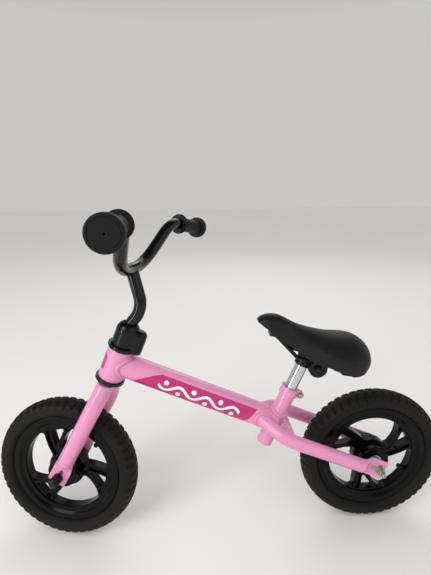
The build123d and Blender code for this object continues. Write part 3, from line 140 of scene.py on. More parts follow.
def add_node(tree, kind, values=None, links=None, **settings):
    """Add a node with its settings, its socket values and the sockets that feed it."""
    node = tree.nodes.new(kind)
    for name, value in settings.items():
        setattr(node, name, value)
    for socket, value in (values or {}).items():
        node.inputs[socket].default_value = value
    for socket, source in (links or {}).items():
        tree.links.new(source, node.inputs[socket])
    return node


def maths(tree, operation, *terms):
    """The result of a Math node whose terms are numbers or sockets."""
    node = add_node(tree, "ShaderNodeMath", operation=operation)
    for socket, term in zip(node.inputs, terms):
        if isinstance(term, (int, float)):
            socket.default_value = term
        else:
            tree.links.new(term, socket)
    return node.outputs[0]


def ranged(tree, value, source, target):
    """A value carried from one range to another and held inside it."""
    ends = dict(zip(("From Min", "From Max", "To Min", "To Max"), (*source, *target)))
    return add_node(tree, "ShaderNodeMapRange", ends, {"Value": value}).outputs["Result"]


def finish(name, colour, shade, grain_mm, depth_mm, rough, sockets=None, patch_mm=70):
    """A Principled surface with slow colour change, fine grain in gloss and relief.

    Returns the material, its tree, the shader, the coordinates and the relief node.
    """
    material = bpy.data.materials.new(name)
    material.use_nodes = True
    tree = material.node_tree
    shader = tree.nodes["Principled BSDF"]
    for socket, value in (sockets or {}).items():
        shader.inputs[socket].default_value = value
    coords = add_node(tree, "ShaderNodeTexCoord")
    patches = add_node(
        tree,
        "ShaderNodeTexNoise",
        {"Scale": 1000 / patch_mm, "Detail": 2.0},
        {"Vector": coords.outputs["Object"]},
    )
    tint = add_node(
        tree,
        "ShaderNodeMix",
        {MIX_A: colour, MIX_B: shade},
        {"Factor": patches.outputs["Fac"]},
        data_type="RGBA",
    )
    tree.links.new(tint.outputs[MIX_RESULT], shader.inputs["Base Color"])
    grain = add_node(
        tree,
        "ShaderNodeTexNoise",
        {"Scale": 1000 / grain_mm, "Detail": 3.0},
        {"Vector": coords.outputs["Object"]},
    )
    gloss = ranged(tree, grain.outputs["Fac"], (0.3, 0.7), rough)
    tree.links.new(gloss, shader.inputs["Roughness"])
    relief = add_node(
        tree,
        "ShaderNodeBump",
        {"Strength": 1.0, "Distance": depth_mm / 1000},
        {"Height": grain.outputs["Fac"]},
    )
    tree.links.new(relief.outputs["Normal"], shader.inputs["Normal"])
    return material, tree, shader, coords, relief


def tyre_rubber(name, centre, axle):
    """Moulded tyre rubber: matt, with fine rings round the sidewall and floor dust on the tread."""
    material, tree, shader, coords, relief = finish(
        name,
        linear("#0D0C0B"),
        linear("#13110F"),
        grain_mm=0.9,
        depth_mm=0.05,
        rough=(0.5, 0.68),
        sockets={"Specular IOR Level": 0.22},
    )
    local = add_node(
        tree,
        "ShaderNodeMapping",
        {"Location": centre, "Rotation": axle.to_track_quat("Z", "Y").to_euler()},
        {"Vector": coords.outputs["Object"]},
        vector_type="TEXTURE",
    )
    flat = add_node(
        tree,
        "ShaderNodeVectorMath",
        {1: (1, 1, 0)},
        {0: local.outputs["Vector"]},
        operation="MULTIPLY",
    )
    length = add_node(
        tree, "ShaderNodeVectorMath", None, {0: flat.outputs["Vector"]}, operation="LENGTH"
    )
    radius = length.outputs["Value"]
    rings = maths(tree, "SINE", maths(tree, "MULTIPLY", radius, 2 * pi / RIB_PITCH))
    ribs = maths(tree, "MULTIPLY", rings, ranged(tree, radius, RIB_END, (1, 0)))
    ridges = add_node(
        tree,
        "ShaderNodeBump",
        {"Strength": 0.9, "Distance": 0.00022},
        {"Height": ribs, "Normal": relief.outputs["Normal"]},
    )
    tree.links.new(ridges.outputs["Normal"], shader.inputs["Normal"])
    clean = shader.inputs["Base Color"].links[0].from_socket
    dusty = add_node(
        tree,
        "ShaderNodeMix",
        {MIX_B: linear("#221F1C")},
        {"Factor": ranged(tree, radius, DUST_START, (0, 0.55)), MIX_A: clean},
        data_type="RGBA",
    )
    tree.links.new(dusty.outputs[MIX_RESULT], shader.inputs["Base Color"])
    return material


def saddle_skin(colour):
    """Self-skinned foam: satin black skin with a fine leather-like grain of closed cells."""
    material, tree, shader, coords, relief = finish(
        "self-skinned polyurethane foam",
        colour,
        linear("#151516"),
        grain_mm=2.2,
        depth_mm=0.03,
        rough=(0.4, 0.54),
        sockets={"Specular IOR Level": 0.28},
    )
    # Real grain cells are about 0.6 mm; they are drawn at 1.5 mm so that they show.
    cells = add_node(
        tree,
        "ShaderNodeTexVoronoi",
        {"Scale": 1000 / 1.5},
        {"Vector": coords.outputs["Object"]},
        feature="DISTANCE_TO_EDGE",
    )
    creases = add_node(
        tree,
        "ShaderNodeBump",
        {"Strength": 0.5, "Distance": 0.00012},
        {"Height": cells.outputs["Distance"], "Normal": relief.outputs["Normal"]},
    )
    tree.links.new(creases.outputs["Normal"], shader.inputs["Normal"])
    return material


def slope_step(value, low, high):
    """A smooth step from 0 at low to 1 at high."""
    share = min(max((value - low) / (high - low), 0), 1)
    return share * share * (3 - 2 * share)


def between(value, low, full, fading, gone):
    """A smooth rise from 0 at low to 1 at full, and a smooth fall from 1 at fading to 0 at gone."""
    return slope_step(value, low, full) * (1 - slope_step(value, fading, gone))


def dress(material, *names):
    """Put a finish on CAD nodes."""
    for name in names:
        slots = NODES[name].data.materials
        slots.clear()
        slots.append(material)


def geometry_tree(name):
    """An empty Geometry Nodes tree that takes geometry in and gives geometry out."""
    tree = bpy.data.node_groups.new(name, "GeometryNodeTree")
    tree.interface.new_socket("Geometry", in_out="INPUT", socket_type="NodeSocketGeometry")
    tree.interface.new_socket("Geometry", in_out="OUTPUT", socket_type="NodeSocketGeometry")
    return tree


def facet_smoother():
    """A node tree that shades facets smooth and keeps edges sharper than 32 degrees."""
    if "smooth facets" in bpy.data.node_groups:
        return bpy.data.node_groups["smooth facets"]
    tree = geometry_tree("smooth facets")
    entry = add_node(tree, "NodeGroupInput")
    smooth = add_node(tree, "GeometryNodeSetShadeSmooth", None, {"Geometry": entry.outputs[0]})
    bend = add_node(tree, "GeometryNodeInputMeshEdgeAngle")
    sharp = add_node(
        tree,
        "FunctionNodeCompare",
        {1: radians(32)},
        {0: bend.outputs["Unsigned Angle"]},
        data_type="FLOAT",
        operation="GREATER_THAN",
    )
    kept = add_node(
        tree,
        "GeometryNodeSetShadeSmooth",
        {"Shade Smooth": False},
        {"Geometry": smooth.outputs[0], "Selection": sharp.outputs[0]},
        domain="EDGE",
    )
    add_node(tree, "NodeGroupOutput", None, {0: kept.outputs[0]})
    return tree


def soften(width, *names):
    """Shade CAD nodes smooth and break their sharp edges, so that they catch the light."""
    for name in names:
        weld = NODES[name].modifiers.new("joined facets", "WELD")
        weld.merge_threshold = 1e-5
        shade = NODES[name].modifiers.new("smooth facets", "NODES")
        shade.node_group = facet_smoother()
        if width:
            bevel = NODES[name].modifiers.new("broken edges", "BEVEL")
            bevel.width = width
            bevel.segments = 2
            bevel.limit_method = "ANGLE"
            bevel.angle_limit = radians(38)
            bevel.harden_normals = True


def add_piece(name, mesh, material, body):
    """Make an object of a finished mesh, give it its finish and let it ride on a body."""
    piece = bpy.data.objects.new(name, mesh)
    bpy.context.scene.collection.objects.link(piece)
    if material is not None:
        mesh.materials.clear()
        mesh.materials.append(material)
    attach(piece, body)
    return piece


def colour_property(name, description, hex_colour):
    """A colour that a user can change."""
    return FloatVectorProperty(
        name=name,
        description=description,
        subtype="COLOR",
        size=4,
        min=0,
        max=1,
        default=linear(hex_colour),
    )


def length_property(name, description, default, low, high):
    """A length in metres that a user can change."""
    return FloatProperty(
        name=name,
        description=description,
        unit="LENGTH",
        default=default,
        min=low,
        max=high,
    )


class BikeColours(PropertyGroup):
    """Colours of the bike's finishes."""

    frame_pink: colour_property("Frame pink", "Gloss enamel of frame and fork", "#DB8DB4")
    bar_black: colour_property("Bar black", "Gloss enamel of stem and handlebar", "#060607")
    band_magenta: colour_property(
        "Band magenta", "Printed film on the main tube and the head tube", "#B5246A"
    )
    saddle_black: colour_property("Saddle black", "Skin of the saddle", "#0F0F10")


class BikeSizes(PropertyGroup):
    """Sizes of what is added to the solids."""

    weld_width: length_property("Weld width", "Width of a weld bead", 0.0082, 0.001, 0.012)
    weld_pitch: length_property("Weld pitch", "Distance between ripples", 0.0026, 0.0005, 0.01)
    film_thickness: length_property(
        "Film thickness", "How far the printed film stands off the paint", 0.00012, 0.00002, 0.001
    )
    foam_voxel: length_property("Foam voxel", "Mesh size of the saddle", 0.004, 0.002, 0.01)
    foam_swell: length_property("Foam swell", "Most that the padding may swell", 0.003, 0, 0.02)
    skirt_drop: length_property(
        "Skirt drop",
        "How far the saddle's edge hangs below its form ahead of the clamp",
        0.008,
        0,
        0.02,
    )
    tyre_knobs: IntProperty(
        name="Tyre knobs",
        description="Lugs round each tyre shoulder",
        default=52,
        min=20,
        max=80,
    )
    foam_frames: IntProperty(
        name="Foam frames",
        description="Steps of the swelling",
        default=16,
        min=1,
        max=60,
    )
    thread_pitch: length_property("Thread pitch", "Pitch of the axle thread", 0.001, 0.0005, 0.002)


class BIKE_OT_frame_finish(Operator):
    """Enamel the frame and the fork"""

    bl_idname = "bike.frame_finish"
    bl_label = "Frame enamel"

    def execute(self, context):
        colour = context.scene.bike_colours.frame_pink
        # Wet enamel over steel tube: a clear gloss with a faint orange-peel ripple.
        enamel = finish(
            "pink gloss enamel",
            colour,
            [colour[0] * 0.96, colour[1] * 0.93, colour[2] * 0.96, 1],
            grain_mm=3.2,
            depth_mm=0.006,
            rough=(0.22, 0.27),
            sockets={"Coat Weight": 0.35, "Coat Roughness": 0.08},
        )[0]
        tubes = ["head_tube", "main_tube", "seat_tube", "left_stay", "right_stay", "stay_bridge"]
        dress(enamel, *tubes, "left_fork_blade", "right_fork_blade", "seat_clamp_collar")
        soften(0.0006, "seat_tube", "seat_clamp_collar", "stay_bridge", "left_stay", "right_stay")
        soften(0, "head_tube", "main_tube", "left_fork_blade", "right_fork_blade")
        return {"FINISHED"}


class BIKE_OT_bar_finish(Operator):
    """Enamel the stem and handlebar and finish the cover and cups"""

    bl_idname = "bike.bar_finish"
    bl_label = "Bars and cover"

    def execute(self, context):
        colour = context.scene.bike_colours.bar_black
        # Black enamel, a little deeper in gloss than the frame's.
        enamel = finish(
            "black gloss enamel",
            colour,
            linear("#0A0A0B"),
            grain_mm=2.6,
            depth_mm=0.015,
            rough=(0.09, 0.15),
            sockets={"Specular IOR Level": 0.34},
        )[0]
        dress(enamel, "stem", "handlebar", "upper_headset_cup", "lower_headset_cup")
        # Polypropylene moulded in a polished tool: glossy with slight flow marks.
        polypropylene = finish(
            "moulded polypropylene",
            linear("#080809"),
            linear("#0D0D0E"),
            grain_mm=5.0,
            depth_mm=0.03,
            rough=(0.16, 0.25),
            sockets={"Specular IOR Level": 0.26},
        )[0]
        mouldings = ["stem_cover", "front_nut_caps", "front_valve_cap", "rear_valve_cap"]
        dress(polypropylene, *mouldings)
        # Thermoplastic rubber, dull, with a fine sanded feel.
        grip = finish(
            "thermoplastic rubber",
            linear("#0B0B0C"),
            linear("#111112"),
            grain_mm=0.8,
            depth_mm=0.06,
            rough=(0.45, 0.6),
            sockets={"Specular IOR Level": 0.24},
        )[0]
        grips = ["left_grip", "right_grip"]
        valves = ["front_valve", "rear_valve"]
        dress(grip, *grips, *valves, "front_inner_tube", "rear_inner_tube")
        soften(0.0005, *grips, *mouldings)
        soften(0.0004, "upper_headset_cup", "lower_headset_cup")
        soften(0, "stem", "handlebar", *valves)
        return {"FINISHED"}


class BIKE_OT_wheel_finish(Operator):
    """Finish the wheel mouldings and the saddle's base"""

    bl_idname = "bike.wheel_finish"
    bl_label = "Wheels"

    def execute(self, context):
        # Glass-filled nylon from a fine spark-eroded tool: half gloss, slightly cloudy.
        nylon = finish(
            "moulded nylon",
            linear("#030303"),
            linear("#060606"),
            grain_mm=1.2,
            depth_mm=0.02,
            rough=(0.16, 0.25),
            sockets={"Specular IOR Level": 0.14},
            patch_mm=45,
        )[0]
        dress(nylon, "front_rim", "rear_rim", "saddle_base")
        soften(0.0009, "front_rim", "rear_rim")
        soften(0.0008, "saddle_base")
        return {"FINISHED"}


class BIKE_OT_metal_finish(Operator):
    """Finish the plated and blackened metal"""

    bl_idname = "bike.metal_finish"
    bl_label = "Metal"

    def execute(self, context):
        # Zinc-plated steel: bright but cloudy.
        zinc = finish(
            "zinc-plated steel",
            linear("#B7B6B1"),
            linear("#A3A29C"),
            grain_mm=0.9,
            depth_mm=0.01,
            rough=(0.26, 0.42),
            sockets={"Metallic": 1.0},
            patch_mm=12,
        )[0]
        bearings = ["bearing_balls", "bearing_inner_races", "bearing_outer_races"]
        axles = ["axle", "axle_spacers", "axle_nuts", "tab_washers"]
        for end in ("front", "rear"):
            dress(zinc, *(f"{end}_{name}" for name in bearings + axles))
        headset = ["upper_headset_cone", "lower_headset_cone", "headset_locknut", "headset_balls"]
        clamps = ["stem_clamp_collar", "stem_clamp_bolt", "stem_clamp_nut", "seat_clamp_nut"]
        dress(zinc, "steerer_tube", *headset, *clamps, "seat_clamp_bolt")
        soften(0.0004, "rear_axle_nuts", "rear_tab_washers", "front_tab_washers", "seat_clamp_nut")
        soften(0, "rear_axle", "rear_axle_spacers", "front_axle_spacers", "seat_clamp_bolt")
        # Chrome over polished tube: a clear mirror with a faint haze.
        chrome = finish(
            "chromed steel",
            linear("#D4D5D6"),
            linear("#C6C8CA"),
            grain_mm=1.5,
            depth_mm=0.003,
            rough=(0.07, 0.14),
            sockets={"Metallic": 1.0},
            patch_mm=30,
        )[0]
        dress(chrome, "seat_post")
        soften(0, "seat_post", "saddle_rails", "saddle_clamp_bolt")
        # Black electro-coat on steel: satin and slightly uneven.
        coat = finish(
            "black electro-coat",
            linear("#0A0A0B"),
            linear("#111112"),
            grain_mm=1.1,
            depth_mm=0.02,
            rough=(0.26, 0.38),
            sockets={"Specular IOR Level": 0.28},
        )[0]
        clamp = ["saddle_clamp_band", "saddle_clamp_cheeks", "saddle_clamp_nuts"]
        dress(coat, *clamp, "saddle_clamp_bolt", "saddle_rails")
        soften(0.0005, *clamp)
        return {"FINISHED"}


class BIKE_OT_saddle(Operator):
    """Pad the saddle: swell its form as foam under a skin"""

    bl_idname = "bike.saddle"
    bl_label = "Saddle padding"

    def execute(self, context):
        scene = context.scene
        sizes = scene.bike_sizes
        pad = self.even_form(context, NODES["saddle_cover"], sizes.foam_voxel)
        rest = [vertex.co.copy() for vertex in pad.data.vertices]
        underside = -0.25
        under = [v.index for v in pad.data.vertices if v.normal.dot(SADDLE_UP) < underside]
        self.swell(context, pad, under)
        for vertex, place in zip(pad.data.vertices, rest):
            step = vertex.co - place
            if step.length > sizes.foam_swell:
                vertex.co = place + step.normalized() * sizes.foam_swell
        self.hang_skirt(pad.data, sizes.skirt_drop)
        self.smooth(pad, "settle", 4)
        fine = pad.modifiers.new("fine", "SUBSURF")
        fine.levels = 1
        fine.render_levels = 1
        pad.data = self.evaluated(context, pad)
        pad.modifiers.clear()
        pad.data.name = "saddle_padding"
        pad.data.polygons.foreach_set("use_smooth", [True] * len(pad.data.polygons))
        pad.data.materials.clear()
        pad.data.materials.append(saddle_skin(scene.bike_colours.saddle_black))
        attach(pad, "saddle_assembly")
        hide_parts("saddle_cover")
        return {"FINISHED"}

    def even_form(self, context, cover, voxel):
        """An object with the cover's form in a mesh of even faces."""
        start = cover.data.copy()
        form = bmesh.new()
        form.from_mesh(start)
        bmesh.ops.remove_doubles(form, verts=form.verts, dist=1e-5)
        form.to_mesh(start)
        form.free()
        pad = bpy.data.objects.new("saddle_padding", start)
        context.scene.collection.objects.link(pad)
        voxels = pad.modifiers.new("voxels", "REMESH")
        voxels.mode = "VOXEL"
        voxels.voxel_size = voxel
        self.smooth(pad, "even", 8)
        hug = pad.modifiers.new("hug", "SHRINKWRAP")
        hug.target = cover
        hug.wrap_method = "NEAREST_SURFACEPOINT"
        self.smooth(pad, "calm", 3)
        pad.data = self.evaluated(context, pad)
        pad.modifiers.clear()
        return pad

    def smooth(self, piece, name, iterations):
        """Add a modifier that evens out the piece's mesh."""
        modifier = piece.modifiers.new(name, "SMOOTH")
        modifier.factor = 0.5
        modifier.iterations = iterations

    def evaluated(self, context, piece):
        """The piece's mesh with its modifiers applied."""
        context.view_layer.update()
        depsgraph = context.evaluated_depsgraph_get()
        return bpy.data.meshes.new_from_object(piece.evaluated_get(depsgraph))

    def hang_skirt(self, mesh, drop):
        """Let the outer edge hang lower between the nose and the clamp, so that it hides the rails."""
        middle = Vector(JOINTS["saddle_tilt"]["pos_m"])
        places = []
        for vertex in mesh.vertices:
            step = vertex.co - middle
            places.append((step.dot(SADDLE_AHEAD), vertex.co.y, step.dot(SADDLE_UP)))
        nose = max(along for along, side, height in places)
        # Metres along the saddle, then shares of its width and of its height.
        slice_width, least = 0.006, 0.001
        dropped_span = (-0.01, 0.03, nose - 0.045, nose - 0.012)
        edge_share, depth_share = (0.55, 0.85), (0.2, 0.85)
        widths, lows, tops = {}, {}, {}
        for along, side, height in places:
            slice_at = round(along / slice_width)
            widths[slice_at] = max(widths.get(slice_at, 0), abs(side))
            lows[slice_at] = min(lows.get(slice_at, 1), height)
            tops[slice_at] = max(tops.get(slice_at, -1), height)
        for vertex, (along, side, height) in zip(mesh.vertices, places):
            slice_at = round(along / slice_width)
            reach = between(along, *dropped_span)
            rim = slope_step(abs(side) / max(widths[slice_at], least), *edge_share)
            depth = (tops[slice_at] - height) / max(tops[slice_at] - lows[slice_at], least)
            vertex.co -= SADDLE_UP * drop * reach * rim * slope_step(depth, *depth_share)

    def swell(self, context, pad, held):
        """Blow the padding up a little by cloth pressure, held along its underside."""
        pins = pad.vertex_groups.new(name="held")
        pins.add(held, 1.0, "REPLACE")
        foam = pad.modifiers.new("foam", "CLOTH")
        foam.settings.use_pressure = True
        foam.settings.uniform_pressure_force = 4
        foam.settings.vertex_group_mass = "held"
        foam.settings.effector_weights.gravity = 0
        foam.settings.quality = 5
        frames = context.scene.bike_sizes.foam_frames
        foam.point_cache.frame_start = 1
        foam.point_cache.frame_end = frames
        for step in range(1, frames + 1):
            context.scene.frame_set(step)
        swollen = self.evaluated(context, pad)
        pad.modifiers.clear()
        for vertex, moved in zip(pad.data.vertices, swollen.vertices):
            vertex.co = moved.co
        pad.vertex_groups.clear()
        bpy.data.meshes.remove(swollen)
        context.scene.frame_set(1)


def poly_line(name, points, cyclic):
    """A curve of straight runs through points."""
    line = bpy.data.curves.new(name, "CURVE")
    line.dimensions = "3D"
    spline = line.splines.new("POLY")
    spline.points.add(len(points) - 1)
    for place, point in zip(spline.points, points):
        place.co = (*point, 1)
    spline.use_cyclic_u = cyclic
    return line


def run_nodes(name, source, build, material, values):
    """Run a Geometry Nodes tree over a curve or mesh and return the plain mesh it makes."""
    carrier = bpy.data.objects.new(name, source)
    bpy.context.scene.collection.objects.link(carrier)
    tree = geometry_tree(name)
    ids = {}
    for label, value in values.items():
        kind = "NodeSocketInt" if isinstance(value, int) else "NodeSocketFloat"
        ids[label] = tree.interface.new_socket(label, in_out="INPUT", socket_type=kind).identifier
    entry = add_node(tree, "NodeGroupInput")
    made = build(tree, entry)
    real = add_node(tree, "GeometryNodeRealizeInstances", None, {"Geometry": made})
    dressed = add_node(
        tree,
        "GeometryNodeSetMaterial",
        {"Material": material},
        {"Geometry": real.outputs[0]},
    )
    add_node(tree, "NodeGroupOutput", None, {0: dressed.outputs[0]})
    modifier = carrier.modifiers.new(name, "NODES")
    modifier.node_group = tree
    for label, value in values.items():
        modifier[ids[label]] = value
    bpy.context.view_layer.update()
    evaluated = carrier.evaluated_get(bpy.context.evaluated_depsgraph_get())
    mesh = bpy.data.meshes.new_from_object(evaluated)
    bpy.data.objects.remove(carrier)
    mesh.name = name
    if not mesh.polygons:
        raise RuntimeError(f"{name} came out empty")
    return mesh


def copies_along(tree, entry, shape, scale):
    """Copies of a shape along the line, one for each pitch."""
    spots = add_node(
        tree,
        "GeometryNodeCurveToPoints",
        None,
        {"Curve": entry.outputs["Geometry"], "Length": entry.outputs["Pitch"]},
        mode="LENGTH",
    )
    return add_node(
        tree,
        "GeometryNodeInstanceOnPoints",
        {"Scale": scale},
        {
            "Points": spots.outputs["Points"],
            "Instance": shape,
            "Rotation": spots.outputs["Rotation"],
        },
    )


def weld_ripples(tree, entry):
    """Flattened drops of metal along the seam, one for each ripple."""
    drop = add_node(
        tree,
        "GeometryNodeMeshUVSphere",
        {"Segments": 10, "Rings": 6},
        {"Radius": entry.outputs["Radius"]},
    )
    drops = copies_along(tree, entry, drop.outputs["Mesh"], (0.92, 0.92, 0.75))
    smooth = add_node(
        tree, "GeometryNodeSetShadeSmooth", None, {"Geometry": drops.outputs["Instances"]}
    )
    return smooth.outputs["Geometry"]


def thread_rings(tree, entry):
    """Rings across the line, one for each turn of a thread."""
    circle, crest = (
        add_node(
            tree,
            "GeometryNodeCurvePrimitiveCircle",
            {"Resolution": resolution},
            {"Radius": entry.outputs[label]},
        )
        for label, resolution in (("Radius", 32), ("Crest", 6))
    )
    ring = add_node(
        tree,
        "GeometryNodeCurveToMesh",
        None,
        {"Curve": circle.outputs["Curve"], "Profile Curve": crest.outputs["Curve"]},
    )
    return copies_along(tree, entry, ring.outputs["Mesh"], (1, 1, 1)).outputs["Instances"]


def seam(tube_start, tube_dir, tube_radius, other_point, other_dir, other_radius, steps=72):
    """The closed line where a tube leaves another, thicker or thinner, round tube."""
    side = tube_dir.orthogonal().normalized()
    up = tube_dir.cross(side)
    line = []
    for step in range(steps):
        angle = 2 * pi * step / steps
        base = tube_start + (side * cos(angle) + up * sin(angle)) * tube_radius - other_point
        flat_base = base - other_dir * base.dot(other_dir)
        flat_dir = tube_dir - other_dir * tube_dir.dot(other_dir)
        a = flat_dir.length_squared
        b = 2 * flat_base.dot(flat_dir)
        c = flat_base.length_squared - other_radius**2
        reach = (-b + sqrt(max(b * b - 4 * a * c, 0))) / (2 * a)
        line.append(other_point + base + tube_dir * reach)
    return line


def sector_ring(tree, entry):
    """Copies of one pitch of a tyre, turned about its axle and joined to a whole ring."""
    knobs = entry.outputs["Knobs"]
    spots = add_node(tree, "GeometryNodeMeshLine", {"Offset": (0, 0, 0)}, {"Count": knobs})
    place = add_node(tree, "GeometryNodeInputIndex")
    turn = maths(tree, "MULTIPLY", place.outputs[0], maths(tree, "DIVIDE", 2 * pi, knobs))
    about_axle = add_node(tree, "ShaderNodeCombineXYZ", None, {"Z": turn})
    copies = add_node(
        tree,
        "GeometryNodeInstanceOnPoints",
        None,
        {
            "Points": spots.outputs["Mesh"],
            "Instance": entry.outputs["Geometry"],
            "Rotation": about_axle.outputs[0],
        },
    )
    solid = add_node(tree, "GeometryNodeRealizeInstances", None, {"Geometry": copies.outputs[0]})
    joined = add_node(
        tree,
        "GeometryNodeMergeByDistance",
        {"Distance": 2e-6},
        {"Geometry": solid.outputs[0]},
    )
    smooth = add_node(tree, "GeometryNodeSetShadeSmooth", None, {"Geometry": joined.outputs[0]})
    return smooth.outputs[0]


def arc_points(first, middle, last, count):
    """Places on the arc through three points, without its first one."""
    (ax, ay), (bx, by), (cx, cy) = first, middle, last
    d = 2 * (ax * (by - cy) + bx * (cy - ay) + cx * (ay - by))
    a2, b2, c2 = ax * ax + ay * ay, bx * bx + by * by, cx * cx + cy * cy
    centre = (
        (a2 * (by - cy) + b2 * (cy - ay) + c2 * (ay - by)) / d,
        (a2 * (cx - bx) + b2 * (ax - cx) + c2 * (bx - ax)) / d,
    )
    radius = sqrt((ax - centre[0]) ** 2 + (ay - centre[1]) ** 2)
    start = atan2(ay - centre[1], ax - centre[0])
    turn = (atan2(cy - centre[1], cx - centre[0]) - start + pi) % (2 * pi) - pi
    angles = [start + turn * step / count for step in range(1, count + 1)]
    return [(centre[0] + radius * cos(angle), centre[1] + radius * sin(angle)) for angle in angles]


def tread_cut(pitch_share, radius, across):
    """How deep the tread is cut at a place, in millimetres."""
    middle = 0.25 if across > 0 else 0.75
    reach = abs(across)
    off = abs((pitch_share - middle - SLOT_LEAN * (reach - SLOT_START) + 0.5) % 1 - 0.5)
    shoulder = slope_step(reach, *SLOT_ACROSS) * slope_step(radius, *SLOT_RADII)
    slot = SLOT_DEPTH * (1 - slope_step(off, *SLOT_FLANK)) * shoulder
    tick = abs((2 * pitch_share + 0.5) % 1 - 0.5)
    notch = NOTCH_DEPTH * (1 - slope_step(tick, *NOTCH_FLANK)) * between(radius, *NOTCH_RADII)
    groove = GROOVE_DEPTH * between(reach, *GROOVE_ACROSS)
    crown = 1 - slope_step(reach, *GAP_ACROSS)
    gap = GROOVE_DEPTH * (1 - slope_step(abs(pitch_share - 0.5), *GAP_FLANK)) * crown
    return max(slot, notch, groove, gap)


class BIKE_OT_tyres(Operator):
    """Mould the tyres: ribbed walls, scalloped shoulder lugs and a row of crown blocks"""

    bl_idname = "bike.tyres"
    bl_label = "Tyres"

    def execute(self, context):
        sector = self.sector(context.scene.bike_sizes.tyre_knobs)
        for end, centre, axle in (("front", FRONT_AXLE, FRONT_LEFT), ("rear", REAR_AXLE, LEFT)):
            rubber = tyre_rubber(f"{end} tyre rubber", centre, axle)
            values = {"Knobs": context.scene.bike_sizes.tyre_knobs}
            mesh = run_nodes(f"{end}_tyre_moulding", sector.copy(), sector_ring, rubber, values)
            turned = axle.to_track_quat("Z", "Y").to_matrix().to_4x4()
            mesh.transform(Matrix.Translation(centre) @ turned)
            tyre = add_piece(f"{end}_tyre_moulding", mesh, None, f"{end}_wheel")
            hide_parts(f"{end}_tyre")
        return {"FINISHED"}

    def sector(self, knobs):
        """One pitch of the tyre about its axle, with radius and width in the solids' sizes."""
        wall = arc_points(WALL_FOOT, WALL_MIDDLE, WALL_TOP, 9)
        bend = arc_points(WALL_TOP, BEND_MIDDLE, BEND_TOP, 14)
        crown = arc_points(BEND_TOP, CROWN_MIDDLE, CROWN_TOP, 16)
        inside = arc_points(BEAD_INSIDE, CASING_MIDDLE, CASING_TOP, 9)
        bead = [BEAD_INSIDE, *BEAD_FOOT, WALL_FOOT]
        half = bead + wall + bend + crown
        section = half + [(radius, -across) for radius, across in reversed(half[:-1])]
        section += [(radius, -across) for radius, across in inside]
        section += [(radius, across) for radius, across in reversed(inside[:-1])]
        outside = 2 * len(half) - 1
        columns = 16
        points, faces = [], []
        for column in range(columns + 1):
            angle = 2 * pi / knobs * column / columns
            for place, (radius, across) in enumerate(section):
                if len(bead) <= place < outside - len(bead):
                    before, after = section[place - 1], section[place + 1]
                    slope = Vector((after[0] - before[0], after[1] - before[1])).normalized()
                    cut = tread_cut(column / columns, radius, across)
                    radius, across = radius + slope.y * cut, across - slope.x * cut
                points.append((radius * cos(angle) / 1000, radius * sin(angle) / 1000, across / 1000))
        count = len(section)
        for column in range(columns):
            for place in range(count):
                after = (place + 1) % count
                low, high = column * count, (column + 1) * count
                faces.append((low + place, low + after, high + after, high + place))
        mesh = bpy.data.meshes.new("tyre pitch")
        mesh.from_pydata(points, [], faces)
        form = bmesh.new()
        form.from_mesh(mesh)
        crest = max(form.faces, key=lambda face: face.calc_center_median().x)
        if crest.normal.x < 0:
            bmesh.ops.reverse_faces(form, faces=form.faces)
        form.to_mesh(mesh)
        form.free()
        return mesh


class BIKE_OT_welds(Operator):
    """Lay weld beads where the frame's tubes meet"""

    bl_idname = "bike.welds"
    bl_label = "Welds"

    def execute(self, context):
        sizes = context.scene.bike_sizes
        enamel = NODES["main_tube"].data.materials[0]
        values = {"Pitch": sizes.weld_pitch, "Radius": sizes.weld_width / 2}
        left_stay = (STAY_DIR + LEFT).normalized()
        right_stay = (STAY_DIR - LEFT).normalized()
        head_tube = (HEAD_POINT, STEER_UP, HEAD_RADIUS)
        main_tube = (SEAT_POINT, MAIN_DIR, MAIN_RADIUS)
        seams = {
            "head_weld": seam(HEAD_POINT, MAIN_DIR, MAIN_RADIUS, *head_tube),
            "upper_seat_weld": seam(SEAT_POINT, SEAT_UP, SEAT_RADIUS, *main_tube),
            "lower_seat_weld": seam(SEAT_POINT, -SEAT_UP, SEAT_RADIUS, *main_tube),
            "left_stay_weld": seam(STAY_START, left_stay, STAY_RADIUS, *main_tube),
            "right_stay_weld": seam(STAY_START, right_stay, STAY_RADIUS, *main_tube),
        }
        for name, line in seams.items():
            mesh = run_nodes(name, poly_line(name, line, True), weld_ripples, enamel, values)
            add_piece(name, mesh, None, "frame")
        return {"FINISHED"}


class BIKE_OT_threads(Operator):
    """Put thread rings on the rear axle's free tips"""

    bl_idname = "bike.threads"
    bl_label = "Threads"

    def execute(self, context):
        sizes = context.scene.bike_sizes
        zinc = NODES["rear_axle"].data.materials[0]
        low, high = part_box("rear_axle")
        nut_low, nut_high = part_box("rear_axle_nuts")
        values = {
            "Pitch": sizes.thread_pitch,
            "Radius": AXLE_RADIUS - THREAD_SINK,
            "Crest": sizes.thread_pitch * THREAD_CREST,
        }
        for side, start, end in (
            ("left", nut_high.y + NUT_GAP, high.y - TIP_GAP),
            ("right", nut_low.y - NUT_GAP, low.y + TIP_GAP),
        ):
            line = [Vector((REAR_AXLE.x, across, REAR_AXLE.z)) for across in (start, end)]
            name = f"{side}_axle_thread"
            mesh = run_nodes(name, poly_line(name, line, False), thread_rings, zinc, values)
            add_piece(name, mesh, None, "frame")
        return {"FINISHED"}


def wrapped(origin, along, facing, radius, across_m, along_m):
    """A place on a tube: along it, and round it from the side that it faces."""
    angle = across_m / radius
    return origin + along * along_m + (facing * cos(angle) + along.cross(facing) * sin(angle)) * radius


